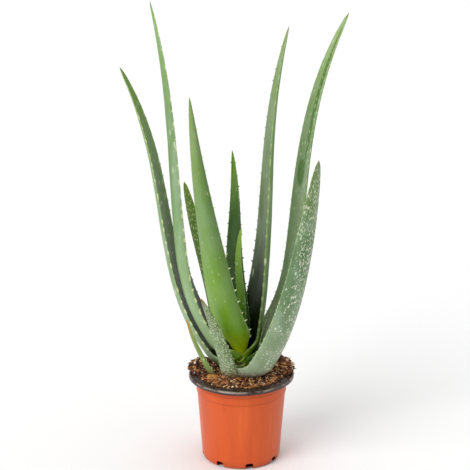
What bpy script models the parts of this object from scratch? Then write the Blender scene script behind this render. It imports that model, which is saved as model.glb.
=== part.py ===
"""Potted aloe plant: a nursery pot, its potting mix, and a rosette of twelve leaves.

Metres, +Z up. The origin is on the pot's axis, on the surface that the pot stands on.
-Y is the side that the plant is looked at from, and +X is to the right of it.
"""

import math
from typing import NamedTuple

import bmesh
import bpy
from mathutils import Matrix, Vector, noise

# ---- Pot -----------------------------------------------------------------------------------
POT_HEIGHT = 0.102          # floor to the top of the lip
POT_RIM_RADIUS = 0.060      # outside of the lip: a 12 cm pot
POT_NECK_RADIUS = 0.0525    # outside of the wall, right under the lip
POT_BAND_RADIUS = 0.0510    # outside of the wall, right under the stepped band
POT_FOOT_RADIUS = 0.0445    # outside of the wall, just above the rounded foot
POT_WALL = 0.0010           # sheet thickness
POT_LIP_DROP = 0.0040       # height of the lip's turned-down edge
POT_LIP_SAG = 0.0010        # how far the lip slopes down, outwards
POT_BAND_HEIGHT = 0.0120    # height of the stepped band under the lip
POT_BAND_STEP = 0.0006      # how far the band stands out
POT_FOOT_ROUND = 0.0050     # radius of the rounded corner at the foot
POT_FLOOR_RISE = 0.0030     # how far the floor stands above the pads it rests on
POT_PAD_WIDTH = 0.0105      # width of the ring of pads, inside the rounded foot
POT_CENTRE_PAD = 0.0090     # radius of the pad in the middle
POT_SIDES = 56              # facets round the pot
DRAIN_NOTCHES = 8           # notches through the rounded foot
DRAIN_NOTCH_WIDTH = 0.0090
DRAIN_NOTCH_TOP = 0.0085    # how far the notches reach up the wall
DRAIN_NOTCH_DEPTH = 0.0070  # how far they reach in from the foot's outside
DRAIN_NOTCH_TURN = 12.0     # degrees that the first notch is turned from +X
DRAIN_HOLES = 6             # round holes in the raised part of the floor
DRAIN_HOLE_RADIUS = 0.0040

# ---- Potting mix -----------------------------------------------------------------------------
MIX_EDGE_DROP = 0.0015      # how far the mix lies under the lip's top, at the wall
MIX_MOUND = 0.0050          # how far it is heaped above that, round the plant
MIX_MOUND_BACK = 0.0050     # how much more it is heaped at the back
MIX_ROUGHNESS = 0.0014      # height of its lumps
MIX_LUMP = 0.0085           # width of its lumps
MIX_RINGS = 11
MIX_SIDES = 44
CHIP_SINK = 0.0010          # how far the bark chips are sunk into the mix
CHIP_BEVEL = 0.0008
CLEARANCE = 0.0003          # gap between pieces that touch
MIX_CLEARANCE = 0.0006      # gap between the mix and what stands in it
GROWTH_LIMIT = 8.0          # how much further a cutter reaches, at most, at its acute corners
GROWTH_PASSES = 40          # how often a cutter's vertex is moved clear of the faces round it

# ---- Crown: the short stem that every leaf grows from ------------------------------------------
CROWN_RISE = 0.0290         # height of its growing tip above the pot's lip
CROWN_TIP_RADIUS = 0.0020
CROWN_SLOPE = 0.80          # height lost per distance out, at the top of its leafy cone
CROWN_FLARE = 80.0          # how much steeper the cone gets outwards, per metre
CROWN_STEPS = 5             # rings along the cone
CROWN_RADIUS = 0.0230       # radius at the lowest leaf
CROWN_RIM = 0.0010          # height of the cone's edge
CROWN_STUMP_RADIUS = 0.0110 # radius of the old stem under the cone
CROWN_STUMP_LENGTH = 0.0110 # from the cone's underside down to the end of the stump
CROWN_SIDES = 20

# ---- Leaves ----------------------------------------------------------------------------------
SHEATH_THICKNESS = 0.0017
LEAN_SPACING = 0.6          # exponent that draws the lean's steps towards the foot
THINNING = 0.60             # exponent of its thinning
TIP_UNCURL = 0.45           # share of the channel's curl that is left at the tip
BACK_SHARE = 0.72           # share of the thickness that bulges from the leaf's back
BACK_STEPS = (-1.0, -0.74, -0.40, 0.0, 0.40, 0.74, 1.0)
FACE_STEPS = (0.62, 0.20, -0.20, -0.62)
LEAF_STATIONS = 21
STATION_SPACING = 1.25      # exponent that draws the sections towards the foot
STEPS_BETWEEN = 8           # steps that the leaf's axis takes from one section to the next


class Leaf(NamedTuple):
    """One leaf: where it leaves the crown, how it stands, and its section."""
    name: str
    azimuth: float       # degrees from +X, the way it leans
    nest: float          # distance of its foot from the axis
    length: float
    lean: tuple          # degrees from upright, foot to tip, closer together near the foot
    width: float         # across the blade, above the sheath
    thickness: float
    wrap: float          # degrees that the foot clasps the crown, each side
    sheath: float        # length over which the foot opens into the blade
    channel: float       # degrees that the blade is curled, each side
    blunt: float         # 0 narrows evenly to the tip, 1 stays broad and rounds off


# From the youngest leaf, in the middle, to the oldest, outside.
LEAVES = (
    Leaf("leaf_heart", 60, 0.0036, 0.146, (0, -1, -4, -9, 20), 0.0120, 0.0038, 62, 0.030, 40, 1.0),
    Leaf("leaf_back_inner", 107, 0.0056, 0.231, (4, 13, 15, -5, 18), 0.0310, 0.0055, 80, 0.035, 36, 0.3),
    Leaf("leaf_front_broad", 241, 0.0076, 0.338, (7, 31, 19, 16, 9), 0.0485, 0.0115, 100, 0.045, 32, 0.1),
    Leaf("leaf_right_inner", 40, 0.0100, 0.378, (5, 14, 6, 4, 20), 0.0390, 0.0117, 125, 0.026, 38, 0.5),
    Leaf("leaf_left_tallest", 171, 0.0122, 0.425, (35, 33, 8, 4, 13), 0.0290, 0.0105, 120, 0.030, 41, 1.0),
    Leaf("leaf_right_tallest", 35, 0.0144, 0.420, (12, 40, 9, 10, 34), 0.0280, 0.0088, 122, 0.028, 41, 1.0),
    Leaf("leaf_left_outer", 162, 0.0166, 0.371, (40, 38, 16, 10, 28), 0.0320, 0.0100, 110, 0.030, 36, 1.0),
    Leaf("leaf_left_spotted", 142, 0.0188, 0.227, (15, 14, 13, 20, 15), 0.0300, 0.0071, 80, 0.028, 36, 1.0),
    Leaf("leaf_right_spotted", 308, 0.0190, 0.309, (32, 38, 26, 15, 10), 0.0390, 0.0118, 100, 0.035, 37, 0.8),
    Leaf("leaf_right_hidden", 345, 0.0212, 0.110, (15, 6, 1, 12, 30), 0.0220, 0.0060, 70, 0.020, 36, 0.7),
    Leaf("leaf_front_short", 239, 0.0212, 0.145, (14, 15, 25, 28, 36), 0.0245, 0.0077, 60, 0.025, 30, 0.55),
    Leaf("leaf_left_old", 202, 0.0212, 0.100, (36, 39, 29, 24, 16), 0.0170, 0.0060, 60, 0.018, 36, 0.8),
)


class Chip(NamedTuple):
    """One piece of bark that lies in the mix's surface."""
    azimuth: float       # degrees from +X, where it lies
    out: float           # share of the way from the pot's axis to its wall
    size: tuple          # length, width, thickness
    turn: float          # degrees about Z
    tilt: float          # degrees that its length is raised


CHIPS = (
    Chip(218, 0.78, (0.0120, 0.0080, 0.0042), 15, 6),
    Chip(231, 0.85, (0.0090, 0.0060, 0.0030), 75, -6),
    Chip(286, 0.84, (0.0100, 0.0050, 0.0026), -15, 8),
    Chip(322, 0.87, (0.0110, 0.0055, 0.0030), 50, -10),
    Chip(8, 0.84, (0.0085, 0.0065, 0.0032), 110, 12),
    Chip(80, 0.78, (0.0120, 0.0070, 0.0034), 35, -7),
)

# ---- Finishes: colour, roughness ---------------------------------------------------------------
TERRACOTTA_PLASTIC = ((0.70, 0.15, 0.045), 0.42)
PEAT = ((0.10, 0.045, 0.020), 0.95)
BARK = ((0.42, 0.20, 0.07), 0.85)
CROWN_FLESH = ((0.45, 0.50, 0.20), 0.60)
LEAF_GREEN = (0.19, 0.33, 0.12)
LEAF_GREY = (0.25, 0.36, 0.19)
LEAF_YOUNG = (0.20, 0.38, 0.07)
LEAF_OLD = (0.30, 0.36, 0.10)
LEAF_ROUGHNESS = 0.45
LEAF_COLOURS = {
    "leaf_heart": LEAF_YOUNG, "leaf_front_broad": LEAF_YOUNG, "leaf_left_old": LEAF_OLD,
    "leaf_right_spotted": LEAF_GREY, "leaf_left_tallest": LEAF_GREY,
    "leaf_front_short": LEAF_GREY, "leaf_left_outer": LEAF_GREY,
}


# ---- Helpers ---------------------------------------------------------------------------------

def clear_scene():
    """Remove every object, so that the model is all that is left."""
    for item in list(bpy.data.objects):
        bpy.data.objects.remove(item, do_unlink=True)


def finish(name, colour, roughness):
    """A plain Principled material."""
    material = bpy.data.materials.new(name)
    material.use_nodes = True
    shader = material.node_tree.nodes["Principled BSDF"]
    shader.inputs["Base Color"].default_value = (*colour, 1.0)
    shader.inputs["Roughness"].default_value = roughness
    return material


def add_object(name, mesh_data, material=None):
    """Put a mesh in the scene as a named object."""
    item = bpy.data.objects.new(name, mesh_data)
    bpy.context.scene.collection.objects.link(item)
    if material:
        mesh_data.materials.append(material)
    return item


def grow_out(builder, grow):
    """Move a closed body's faces out, to cut with: a vertex moves clear of every face round it."""
    moves = []
    for vertex in builder.verts:
        move = Vector()
        for _ in range(GROWTH_PASSES):
            for face in vertex.link_faces:
                move += face.normal * max(grow - move.dot(face.normal), 0.0)
        moves.append(move * min(1.0, GROWTH_LIMIT * grow / move.length))
    for vertex, move in zip(builder.verts, moves):
        vertex.co += move


def mesh_from(builder, name, grow=0.0):
    """Turn a bmesh into a mesh with its normals pointing out, and grown if it is to cut with."""
    bmesh.ops.recalc_face_normals(builder, faces=builder.faces)
    if grow:
        grow_out(builder, grow)
    mesh = bpy.data.meshes.new(name)
    builder.to_mesh(mesh)
    builder.free()
    return mesh


def turned(name, profile, sides, grow=0.0):
    """A body of revolution about Z, from (radius, height) points that start and end on the axis."""
    builder = bmesh.new()
    rings = []
    for radius, height in profile:
        around = sides if radius > 0.0 else 1
        rings.append([builder.verts.new((radius * math.cos(math.tau * i / sides),
                                         radius * math.sin(math.tau * i / sides), height))
                      for i in range(around)])
    for lower, upper in zip(rings, rings[1:]):
        for i in range(sides):
            j = (i + 1) % sides
            corners = (lower[i % len(lower)], lower[j % len(lower)],
                       upper[j % len(upper)], upper[i % len(upper)])
            builder.faces.new(list(dict.fromkeys(corners)))
    return mesh_from(builder, name, grow)


def largest_island(mesh):
    """Keep the largest connected body of a mesh, and drop the crumbs that a cut leaves."""
    builder = bmesh.new()
    builder.from_mesh(mesh)
    bmesh.ops.remove_doubles(builder, verts=builder.verts, dist=0.000005)
    left = set(builder.verts)
    islands = []
    while left:
        island, edge = set(), [left.pop()]
        while edge:
            vertex = edge.pop()
            island.add(vertex)
            for link in vertex.link_edges:
                other = link.other_vert(vertex)
                if other in left:
                    left.discard(other)
                    edge.append(other)
        islands.append(island)
    islands.sort(key=len, reverse=True)
    for island in islands[1:]:
        bmesh.ops.delete(builder, geom=list(island), context="VERTS")
    builder.to_mesh(mesh)
    builder.free()


def cut_away(item, cutters):
    """Cut a body with others, and keep its largest body."""
    for cutter in cutters:
        modifier = item.modifiers.new("clearance", "BOOLEAN")
        modifier.operation = "DIFFERENCE"
        modifier.object = cutter
        evaluated = item.evaluated_get(bpy.context.evaluated_depsgraph_get())
        mesh = bpy.data.meshes.new_from_object(evaluated)
        item.modifiers.clear()
        item.data = mesh
        largest_island(mesh)


def scratch(name, mesh):
    """A cutter, which isn't part of the model."""
    item = add_object(name, mesh)
    item.hide_render = True
    item.display_type = "WIRE"
    return item


# ---- Pot -----------------------------------------------------------------------------------

def arc(centre, radius, start, stop, steps):
    """Points on an arc in the (radius, height) plane, in degrees from the radius axis."""
    return [(centre[0] + radius * math.cos(math.radians(start + (stop - start) * k / steps)),
             centre[1] + radius * math.sin(math.radians(start + (stop - start) * k / steps)))
            for k in range(steps + 1)]


def pot_inner_radius(height):
    """Inside radius of the pot's wall at a height."""
    band_base = POT_HEIGHT - POT_BAND_HEIGHT
    if height >= band_base:
        share = (height - band_base) / POT_BAND_HEIGHT
        outside = POT_BAND_RADIUS + (POT_NECK_RADIUS - POT_BAND_RADIUS) * share
    else:
        share = (height - POT_FOOT_ROUND) / (band_base - POT_FOOT_ROUND)
        outside = POT_FOOT_RADIUS + (POT_BAND_RADIUS - POT_FOOT_RADIUS) * share
    return outside - POT_WALL


def pad_ring_radius():
    """Inner radius of the ring of pads under the foot."""
    return POT_FOOT_RADIUS - POT_FOOT_ROUND - POT_PAD_WIDTH


def pot_profile():
    """The pot's sheet as one closed outline: up the outside, over the lip, down the inside."""
    wall, top = POT_WALL, POT_HEIGHT
    band_base = top - POT_BAND_HEIGHT
    step = POT_BAND_STEP
    rise = POT_FLOOR_RISE
    ring = pad_ring_radius()
    outside = [(0.0, 0.0), (POT_CENTRE_PAD, 0.0), (POT_CENTRE_PAD + wall, rise),
               (ring - wall, rise), (ring, 0.0)]
    corner = (POT_FOOT_RADIUS - POT_FOOT_ROUND, POT_FOOT_ROUND)
    outside += arc(corner, POT_FOOT_ROUND, -90, 0, 4)
    outside += [(POT_BAND_RADIUS, band_base), (POT_BAND_RADIUS + step, band_base + step),
                (POT_NECK_RADIUS, top - wall - POT_LIP_SAG),
                (POT_RIM_RADIUS - 2 * wall, top - 2 * wall - POT_LIP_SAG),
                (POT_RIM_RADIUS - wall, top - POT_LIP_DROP - POT_LIP_SAG),
                (POT_RIM_RADIUS, top - POT_LIP_DROP - POT_LIP_SAG)]
    lip = [(POT_RIM_RADIUS - 0.3 * wall, top - wall - POT_LIP_SAG),
           (POT_RIM_RADIUS - wall, top - POT_LIP_SAG), (POT_NECK_RADIUS, top),
           (POT_NECK_RADIUS - wall, top - 0.4 * wall)]
    inside = [(POT_BAND_RADIUS + step - wall, band_base + step + 0.4 * wall),
              (POT_BAND_RADIUS - wall, band_base)]
    inside += arc(corner, POT_FOOT_ROUND - wall, 0, -90, 3)
    inside += [(ring, wall), (ring - wall, rise + wall),
               (POT_CENTRE_PAD + wall, rise + wall), (POT_CENTRE_PAD, wall), (0.0, wall)]
    return outside + lip + inside


def notch_cutter(index):
    """A block that opens one drainage notch through the rounded foot."""
    builder = bmesh.new()
    bmesh.ops.create_cube(builder, size=1.0)
    reach = 2 * DRAIN_NOTCH_DEPTH
    bmesh.ops.scale(builder, verts=builder.verts,
                    vec=(reach, DRAIN_NOTCH_WIDTH, 2 * DRAIN_NOTCH_TOP))
    bmesh.ops.translate(builder, verts=builder.verts, vec=(POT_FOOT_RADIUS, 0.0, 0.0))
    turn = math.radians(DRAIN_NOTCH_TURN) + math.tau * index / DRAIN_NOTCHES
    bmesh.ops.transform(builder, matrix=Matrix.Rotation(turn, 4, "Z"), verts=builder.verts)
    return scratch(f"cut_notch_{index}", mesh_from(builder, "cut_notch"))


def hole_cutter(index):
    """A rod that opens one round drainage hole in the raised floor."""
    turn = math.tau * index / DRAIN_HOLES
    circle = (POT_CENTRE_PAD + pad_ring_radius()) / 2
    builder = bmesh.new()
    bmesh.ops.create_cone(builder, cap_ends=True, segments=12, radius1=DRAIN_HOLE_RADIUS,
                          radius2=DRAIN_HOLE_RADIUS, depth=4 * POT_FLOOR_RISE)
    bmesh.ops.translate(builder, verts=builder.verts, vec=(
        circle * math.cos(turn), circle * math.sin(turn), 0.0))
    return scratch(f"cut_hole_{index}", mesh_from(builder, "cut_hole"))


def make_pot():
    """The thin-walled plastic pot, with its drainage holes and notches."""
    mesh = turned("nursery_pot", pot_profile(), POT_SIDES)
    pot = add_object("nursery_pot", mesh, finish("terracotta_plastic", *TERRACOTTA_PLASTIC))
    cutters = [notch_cutter(k) for k in range(DRAIN_NOTCHES)]
    cutters += [hole_cutter(k) for k in range(DRAIN_HOLES)]
    cut_away(pot, cutters)
    return pot


# ---- Crown and leaves --------------------------------------------------------------------------

def foot_height(nest):
    """Height on the crown's cone at which a leaf with this nest radius grows."""
    reach = nest - CROWN_TIP_RADIUS
    return POT_HEIGHT + CROWN_RISE - reach * CROWN_SLOPE - reach * reach * CROWN_FLARE


def crown_mesh(grow=0.0):
    """The crown: a stump under a leafy cone."""
    top, edge = POT_HEIGHT + CROWN_RISE, foot_height(CROWN_RADIUS)
    neck = edge - CROWN_RIM - CROWN_STUMP_RADIUS
    bottom = neck - CROWN_STUMP_LENGTH
    profile = [(0.0, bottom), (CROWN_STUMP_RADIUS * 0.8, bottom),
               (CROWN_STUMP_RADIUS, bottom + CROWN_STUMP_RADIUS * 0.5),
               (CROWN_STUMP_RADIUS, neck), (CROWN_RADIUS, edge - CROWN_RIM), (CROWN_RADIUS, edge)]
    for k in reversed(range(CROWN_STEPS)):
        radius = CROWN_TIP_RADIUS + (CROWN_RADIUS - CROWN_TIP_RADIUS) * k / CROWN_STEPS
        profile.append((radius, foot_height(radius)))
    profile.append((0.0, top))
    return turned("crown", profile, CROWN_SIDES, grow)


def blended(values, share):
    """A smooth curve through values at equal steps, read at a share of its length."""
    count = len(values) - 1
    place = min(max(share * count, 0.0), count - 1e-9)
    index = int(place)
    rest = place - index
    row = [2 * values[0] - values[1], *values, 2 * values[-1] - values[-2]]
    a, b, c, d = row[index:index + 4]
    return b + 0.5 * rest * (c - a + rest * (2 * a - 5 * b + 4 * c - d
                                             + rest * (3 * (b - c) + d - a)))


def eased(share):
    """A smooth step from 0 to 1."""
    share = min(max(share, 0.0), 1.0)
    return share * share * (3 - 2 * share)


def leaf_frames(leaf, shares):
    """Place, side and inward directions of the leaf's section at each share of its length."""
    turn = math.radians(leaf.azimuth)
    place = Vector((leaf.nest * math.cos(turn), leaf.nest * math.sin(turn),
                    foot_height(leaf.nest)))
    frames = []
    done = 0.0
    for share in shares:
        step = (share - done) / STEPS_BETWEEN
        for k in range(STEPS_BETWEEN):
            along = leaf_axes(leaf, done + step * (k + 0.5))[0]
            place = place + along * (leaf.length * step)
        done = share
        frames.append((place.copy(), *leaf_axes(leaf, share)[1:]))
    return frames


def leaf_axes(leaf, share):
    """Directions along the leaf, across it, and in towards the plant's axis."""
    turn = math.radians(leaf.azimuth)
    lean = math.radians(blended(leaf.lean, share ** LEAN_SPACING))
    out = Vector((math.cos(turn), math.sin(turn), 0.0))
    up = Vector((0.0, 0.0, 1.0))
    along = out * math.sin(lean) + up * math.cos(lean)
    inward = up * math.sin(lean) - out * math.cos(lean)
    return along, along.cross(inward), inward


def leaf_section(leaf, share):
    """The leaf's crescent at a share of its length, as (across, inward) points."""
    opened = eased(share * leaf.length / leaf.sheath)
    wrap = math.radians(leaf.wrap)
    channel = math.radians(leaf.channel) * (1 - (1 - TIP_UNCURL) * share)
    curl = wrap + (channel - wrap) * opened
    foot_width = 2 * wrap * leaf.nest
    narrowing = (1 - leaf.blunt) * (1 - share) + leaf.blunt * math.sqrt(1 - share * share)
    width = foot_width + (leaf.width * narrowing - foot_width) * opened
    thick = SHEATH_THICKNESS + (leaf.thickness * (1 - share) ** THINNING
                                - SHEATH_THICKNESS) * opened
    radius = width / (2 * curl)
    points = []
    for steps, side in ((BACK_STEPS, BACK_SHARE), (FACE_STEPS, BACK_SHARE - 1)):
        for step in steps:
            out = radius + thick * side * math.sqrt(1 - step * step)
            points.append((out * math.sin(curl * step), radius - out * math.cos(curl * step)))
    return points


def leaf_mesh(leaf, grow=0.0):
    """A leaf as one closed body."""
    shares = [(k / LEAF_STATIONS) ** STATION_SPACING for k in range(LEAF_STATIONS)]
    builder = bmesh.new()
    rings = []
    frames = leaf_frames(leaf, shares + [1.0])
    for share, (place, across, inward) in zip(shares, frames):
        rings.append([builder.verts.new(place + across * x + inward * y)
                      for x, y in leaf_section(leaf, share)])
    tip = builder.verts.new(frames[-1][0])
    builder.faces.new(rings[0])
    for lower, upper in zip(rings, rings[1:]):
        for k, vertex in enumerate(lower):
            after = (k + 1) % len(lower)
            builder.faces.new((vertex, lower[after], upper[after], upper[k]))
    last = rings[-1]
    for k, vertex in enumerate(last):
        builder.faces.new((vertex, last[(k + 1) % len(last)], tip))
    bmesh.ops.triangulate(builder, faces=builder.faces, quad_method="FIXED")
    return mesh_from(builder, leaf.name, grow)


def make_plant():
    """The crown and its leaves, each clear of the ones inside it, and cutters for the mix."""
    add_object("crown", crown_mesh(), finish("crown_flesh", *CROWN_FLESH))
    grown = [scratch("cut_crown", crown_mesh(CLEARANCE))]
    for leaf in LEAVES:
        colour = LEAF_COLOURS.get(leaf.name, LEAF_GREEN)
        item = add_object(leaf.name, leaf_mesh(leaf), finish(leaf.name, colour, LEAF_ROUGHNESS))
        cut_away(item, grown)
        grown.append(scratch(f"cut_{leaf.name}", leaf_mesh(leaf, CLEARANCE)))
    return [scratch("cut_mix_crown", crown_mesh(MIX_CLEARANCE))] + [
        scratch(f"cut_mix_{leaf.name}", leaf_mesh(leaf, MIX_CLEARANCE)) for leaf in LEAVES]


# ---- Potting mix -----------------------------------------------------------------------------

def mix_height(x, y):
    """Height of the potting mix's surface."""
    edge = pot_inner_radius(POT_HEIGHT)
    share = min(math.hypot(x, y) / edge, 1.0)
    level = POT_HEIGHT - MIX_EDGE_DROP + MIX_MOUND * (1 - share ** 2.2)
    level += MIX_MOUND_BACK * (0.5 + 0.5 * y / edge) * (1 - share ** 6)
    lump = noise.noise(Vector((x, y, 0.0)) / MIX_LUMP)
    return level + MIX_ROUGHNESS * lump


def chip_mesh(chip, grow=0.0):
    """A bark chip: a slab with broken edges."""
    turn = math.radians(chip.azimuth)
    distance = chip.out * pot_inner_radius(POT_HEIGHT)
    x, y = distance * math.cos(turn), distance * math.sin(turn)
    height = mix_height(x, y) + chip.size[2] / 2 - CHIP_SINK
    builder = bmesh.new()
    bmesh.ops.create_cube(builder, size=1.0)
    bmesh.ops.scale(builder, verts=builder.verts, vec=chip.size)
    bmesh.ops.bevel(builder, geom=builder.edges[:], offset=CHIP_BEVEL, segments=1,
                    affect="EDGES")
    place = (Matrix.Translation((x, y, height)) @ Matrix.Rotation(math.radians(chip.turn), 4, "Z")
             @ Matrix.Rotation(math.radians(chip.tilt), 4, "Y"))
    bmesh.ops.transform(builder, matrix=place, verts=builder.verts)
    bmesh.ops.triangulate(builder, faces=builder.faces)
    return mesh_from(builder, "bark_chip", grow)


def make_chips(plant):
    """The larger pieces of bark, clear of the plant, and the cutters that clear them."""
    bark = finish("bark", *BARK)
    cutters = []
    for number, chip in enumerate(CHIPS, start=1):
        cut_away(add_object(f"bark_chip_{number}", chip_mesh(chip), bark), plant)
        cutters.append(scratch(f"cut_chip_{number}", chip_mesh(chip, CLEARANCE)))
    return cutters


def make_mix(cutters):
    """The potting mix: it fills the pot, and the plant's foot stands in it."""
    builder = bmesh.new()
    base = POT_FLOOR_RISE + POT_WALL + CLEARANCE
    rings = []
    for k in range(1, MIX_RINGS + 1):
        share = k / MIX_RINGS
        ring = []
        for i in range(MIX_SIDES):
            turn = math.tau * (i + 0.5 * (k % 2)) / MIX_SIDES
            radius = share * (pot_inner_radius(POT_HEIGHT - MIX_EDGE_DROP) - 3 * CLEARANCE)
            x, y = radius * math.cos(turn), radius * math.sin(turn)
            ring.append(builder.verts.new((x, y, mix_height(x, y))))
        rings.append(ring)
    centre = builder.verts.new((0.0, 0.0, mix_height(0.0, 0.0)))
    band_base = POT_HEIGHT - POT_BAND_HEIGHT
    offset = 0.5 * (MIX_RINGS % 2)
    for height in (band_base, base + POT_FOOT_ROUND, base):
        radius = pot_inner_radius(height) - 3 * CLEARANCE
        if height == base:
            radius -= POT_FOOT_ROUND
        rings.append([builder.verts.new((radius * math.cos(math.tau * (i + offset) / MIX_SIDES),
                                         radius * math.sin(math.tau * (i + offset) / MIX_SIDES),
                                         height)) for i in range(MIX_SIDES)])
    bottom = builder.verts.new((0.0, 0.0, base))
    for i in range(MIX_SIDES):
        j = (i + 1) % MIX_SIDES
        builder.faces.new((centre, rings[0][i], rings[0][j]))
        builder.faces.new((bottom, rings[-1][j], rings[-1][i]))
        for lower, upper in zip(rings, rings[1:]):
            builder.faces.new((lower[i], upper[i], upper[j], lower[j]))
    bmesh.ops.triangulate(builder, faces=builder.faces)
    mix = add_object("potting_mix", mesh_from(builder, "potting_mix"),
                     finish("peat", *PEAT))
    cut_away(mix, cutters)
    return mix


clear_scene()
make_pot()
plant_cutters = make_plant()
make_mix(plant_cutters + make_chips(plant_cutters))
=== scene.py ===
"""Potted aloe plant: the finished surfaces of a twelve-leaved rosette in its nursery pot.

Metres, +Z up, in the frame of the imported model: the pot stands on Z = 0 with its axis on Z,
-Y is the side that the plant is looked at from, and +X is to the right of it.
"""
import logging
import math
from collections.abc import Callable
from dataclasses import dataclass
from enum import Enum

import bmesh
import bpy
from bpy.types import Material, Mesh, Node, NodeSocket, NodeTree, Object
from mathutils import Matrix, Vector, noise
from mathutils.bvhtree import BVHTree


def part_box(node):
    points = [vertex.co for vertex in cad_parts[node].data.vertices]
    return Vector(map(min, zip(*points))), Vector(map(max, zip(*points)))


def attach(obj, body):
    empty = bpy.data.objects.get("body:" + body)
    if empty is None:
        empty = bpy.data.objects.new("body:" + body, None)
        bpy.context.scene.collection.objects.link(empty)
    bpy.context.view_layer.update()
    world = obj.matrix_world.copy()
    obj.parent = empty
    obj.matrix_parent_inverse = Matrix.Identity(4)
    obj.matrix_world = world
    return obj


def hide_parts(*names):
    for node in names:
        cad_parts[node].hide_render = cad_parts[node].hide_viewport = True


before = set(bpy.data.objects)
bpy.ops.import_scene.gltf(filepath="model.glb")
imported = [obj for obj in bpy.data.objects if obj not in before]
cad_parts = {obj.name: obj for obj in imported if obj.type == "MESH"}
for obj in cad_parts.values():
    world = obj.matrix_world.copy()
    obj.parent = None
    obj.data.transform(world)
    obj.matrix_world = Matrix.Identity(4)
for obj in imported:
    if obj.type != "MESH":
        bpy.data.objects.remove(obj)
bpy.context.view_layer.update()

LOG = logging.getLogger("potted_aloe")
BODY = "root"
SHARP_ANGLE = math.radians(40)
POT_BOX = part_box("nursery_pot")
LIP_HEIGHT = POT_BOX[1].z
LIP_RADIUS = POT_BOX[1].x
Colour = tuple[float, float, float]


def srgb(red: int, green: int, blue: int) -> Colour:
    """Turn a display colour into the linear one that the shaders use.

    Args:
        red: 0 to 255, as are green and blue.

    Returns:
        The linear colour.
    """
    linear = []
    for value in (red / 255, green / 255, blue / 255):
        linear.append(value / 12.92 if value <= 0.04045 else ((value + 0.055) / 1.055) ** 2.4)
    return tuple(linear)


def eased(share: float) -> float:
    """A smooth step from 0 to 1."""
    share = min(max(share, 0.0), 1.0)
    return share * share * (3 - 2 * share)


def blended(values: tuple[float, ...], share: float) -> float:
    """Read a smooth curve through values at equal steps.

    Args:
        values: the curve's values, from its start to its end.
        share: the place on the curve, from 0 to 1.

    Returns:
        The value there.
    """
    count = len(values) - 1
    place = min(max(share * count, 0.0), count - 1e-9)
    index = int(place)
    rest = place - index
    row = [2 * values[0] - values[1], *values, 2 * values[-1] - values[-2]]
    a, b, c, d = row[index:index + 4]
    return b + 0.5 * rest * (c - a + rest * (2 * a - 5 * b + 4 * c - d
                                             + rest * (3 * (b - c) + d - a)))


# ---- Meshes ----

def new_piece(name: str, mesh: Mesh, *materials: Material) -> Object:
    """Put a finished mesh in the scene.

    Args:
        name: the piece's name.
        mesh: its mesh, already in place.
        materials: its materials, in slot order.

    Returns:
        The object, at the origin.
    """
    piece = bpy.data.objects.new(name, mesh)
    bpy.context.scene.collection.objects.link(piece)
    for material in materials:
        mesh.materials.append(material)
    return piece


def settle(piece: Object, slot: str, *nodes: str) -> None:
    """Ride a piece on the body, and hide the nodes that it replaces.

    Args:
        piece: the finished piece.
        slot: the record's material slot; not used.
        nodes: the nodes that it replaces.
    """
    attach(piece, BODY)
    if nodes:
        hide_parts(*nodes)
    LOG.info("%s: %d faces", piece.name, len(piece.data.polygons))


def plain_mesh(piece: Object) -> None:
    """Turn what a piece's modifiers make into its own mesh, and remove them.

    Args:
        piece: the piece.
    """
    evaluated = piece.evaluated_get(bpy.context.evaluated_depsgraph_get())
    mesh = bpy.data.meshes.new_from_object(evaluated)
    piece.modifiers.clear()
    piece.data = mesh


def cut(piece: Object, cutter: Object) -> None:
    """Take one body away from another, and remove the cutter.

    Args:
        piece: the body that is cut.
        cutter: the body that is taken away.
    """
    modifier = piece.modifiers.new("cut", "BOOLEAN")
    modifier.operation = "DIFFERENCE"
    modifier.object = cutter
    plain_mesh(piece)
    bpy.data.objects.remove(cutter, do_unlink=True)


def built_mesh(name: str, builder: bmesh.types.BMesh, smooth: bool = True) -> Mesh:
    """Turn a bmesh into a mesh, and free it.

    Args:
        name: the mesh's name.
        builder: the bmesh.
        smooth: whether its faces are shaded smooth.

    Returns:
        The mesh.
    """
    mesh = bpy.data.meshes.new(name)
    builder.to_mesh(mesh)
    builder.free()
    if smooth:
        mesh.shade_smooth()
    return mesh


def loft_mesh(name: str, *lofts: list[list[Vector]], smooth: bool = True) -> Mesh:
    """Bridge rings of points into closed bodies, with a flat cap where an end isn't a point.

    Args:
        name: the mesh's name.
        lofts: for each body, its rings, which have the same number of points, or one at a pole.
        smooth: whether the faces are shaded smooth.

    Returns:
        The mesh, its normals pointing out.
    """
    builder = bmesh.new()
    for rings in lofts:
        rows = [[builder.verts.new(point) for point in ring] for ring in rings]
        count = max(len(row) for row in rows)
        for lower, upper in zip(rows, rows[1:]):
            for i in range(count):
                j = (i + 1) % count
                corners = (lower[i % len(lower)], lower[j % len(lower)],
                           upper[j % len(upper)], upper[i % len(upper)])
                builder.faces.new(list(dict.fromkeys(corners)))
        for row in (rows[0], rows[-1]):
            if len(row) > 1:
                builder.faces.new(row)
    bmesh.ops.recalc_face_normals(builder, faces=builder.faces)
    return built_mesh(name, builder, smooth)


def polar(radius: float, turn: float, height: float) -> tuple[float, float, float]:
    """A point at a distance from the axis, at an angle in radians from +X."""
    return radius * math.cos(turn), radius * math.sin(turn), height


def search_tree(piece: Object) -> BVHTree:
    """A search tree over a piece's faces.

    Args:
        piece: the piece.

    Returns:
        The tree.
    """
    builder = bmesh.new()
    builder.from_mesh(piece.data)
    tree = BVHTree.FromBMesh(builder)
    builder.free()
    return tree


def point_values(mesh: Mesh, name: str, kind: str, values: list) -> None:
    """Store a value on each of a mesh's points.

    Args:
        mesh: the mesh.
        name: the attribute's name.
        kind: FLOAT or FLOAT_VECTOR.
        values: one number or vector for each point.
    """
    attribute = mesh.attributes.new(name, kind, "POINT")
    for item, value in zip(attribute.data, values):
        if kind == "FLOAT":
            item.value = value
        else:
            item.vector = value


# ---- Node trees ----

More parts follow.
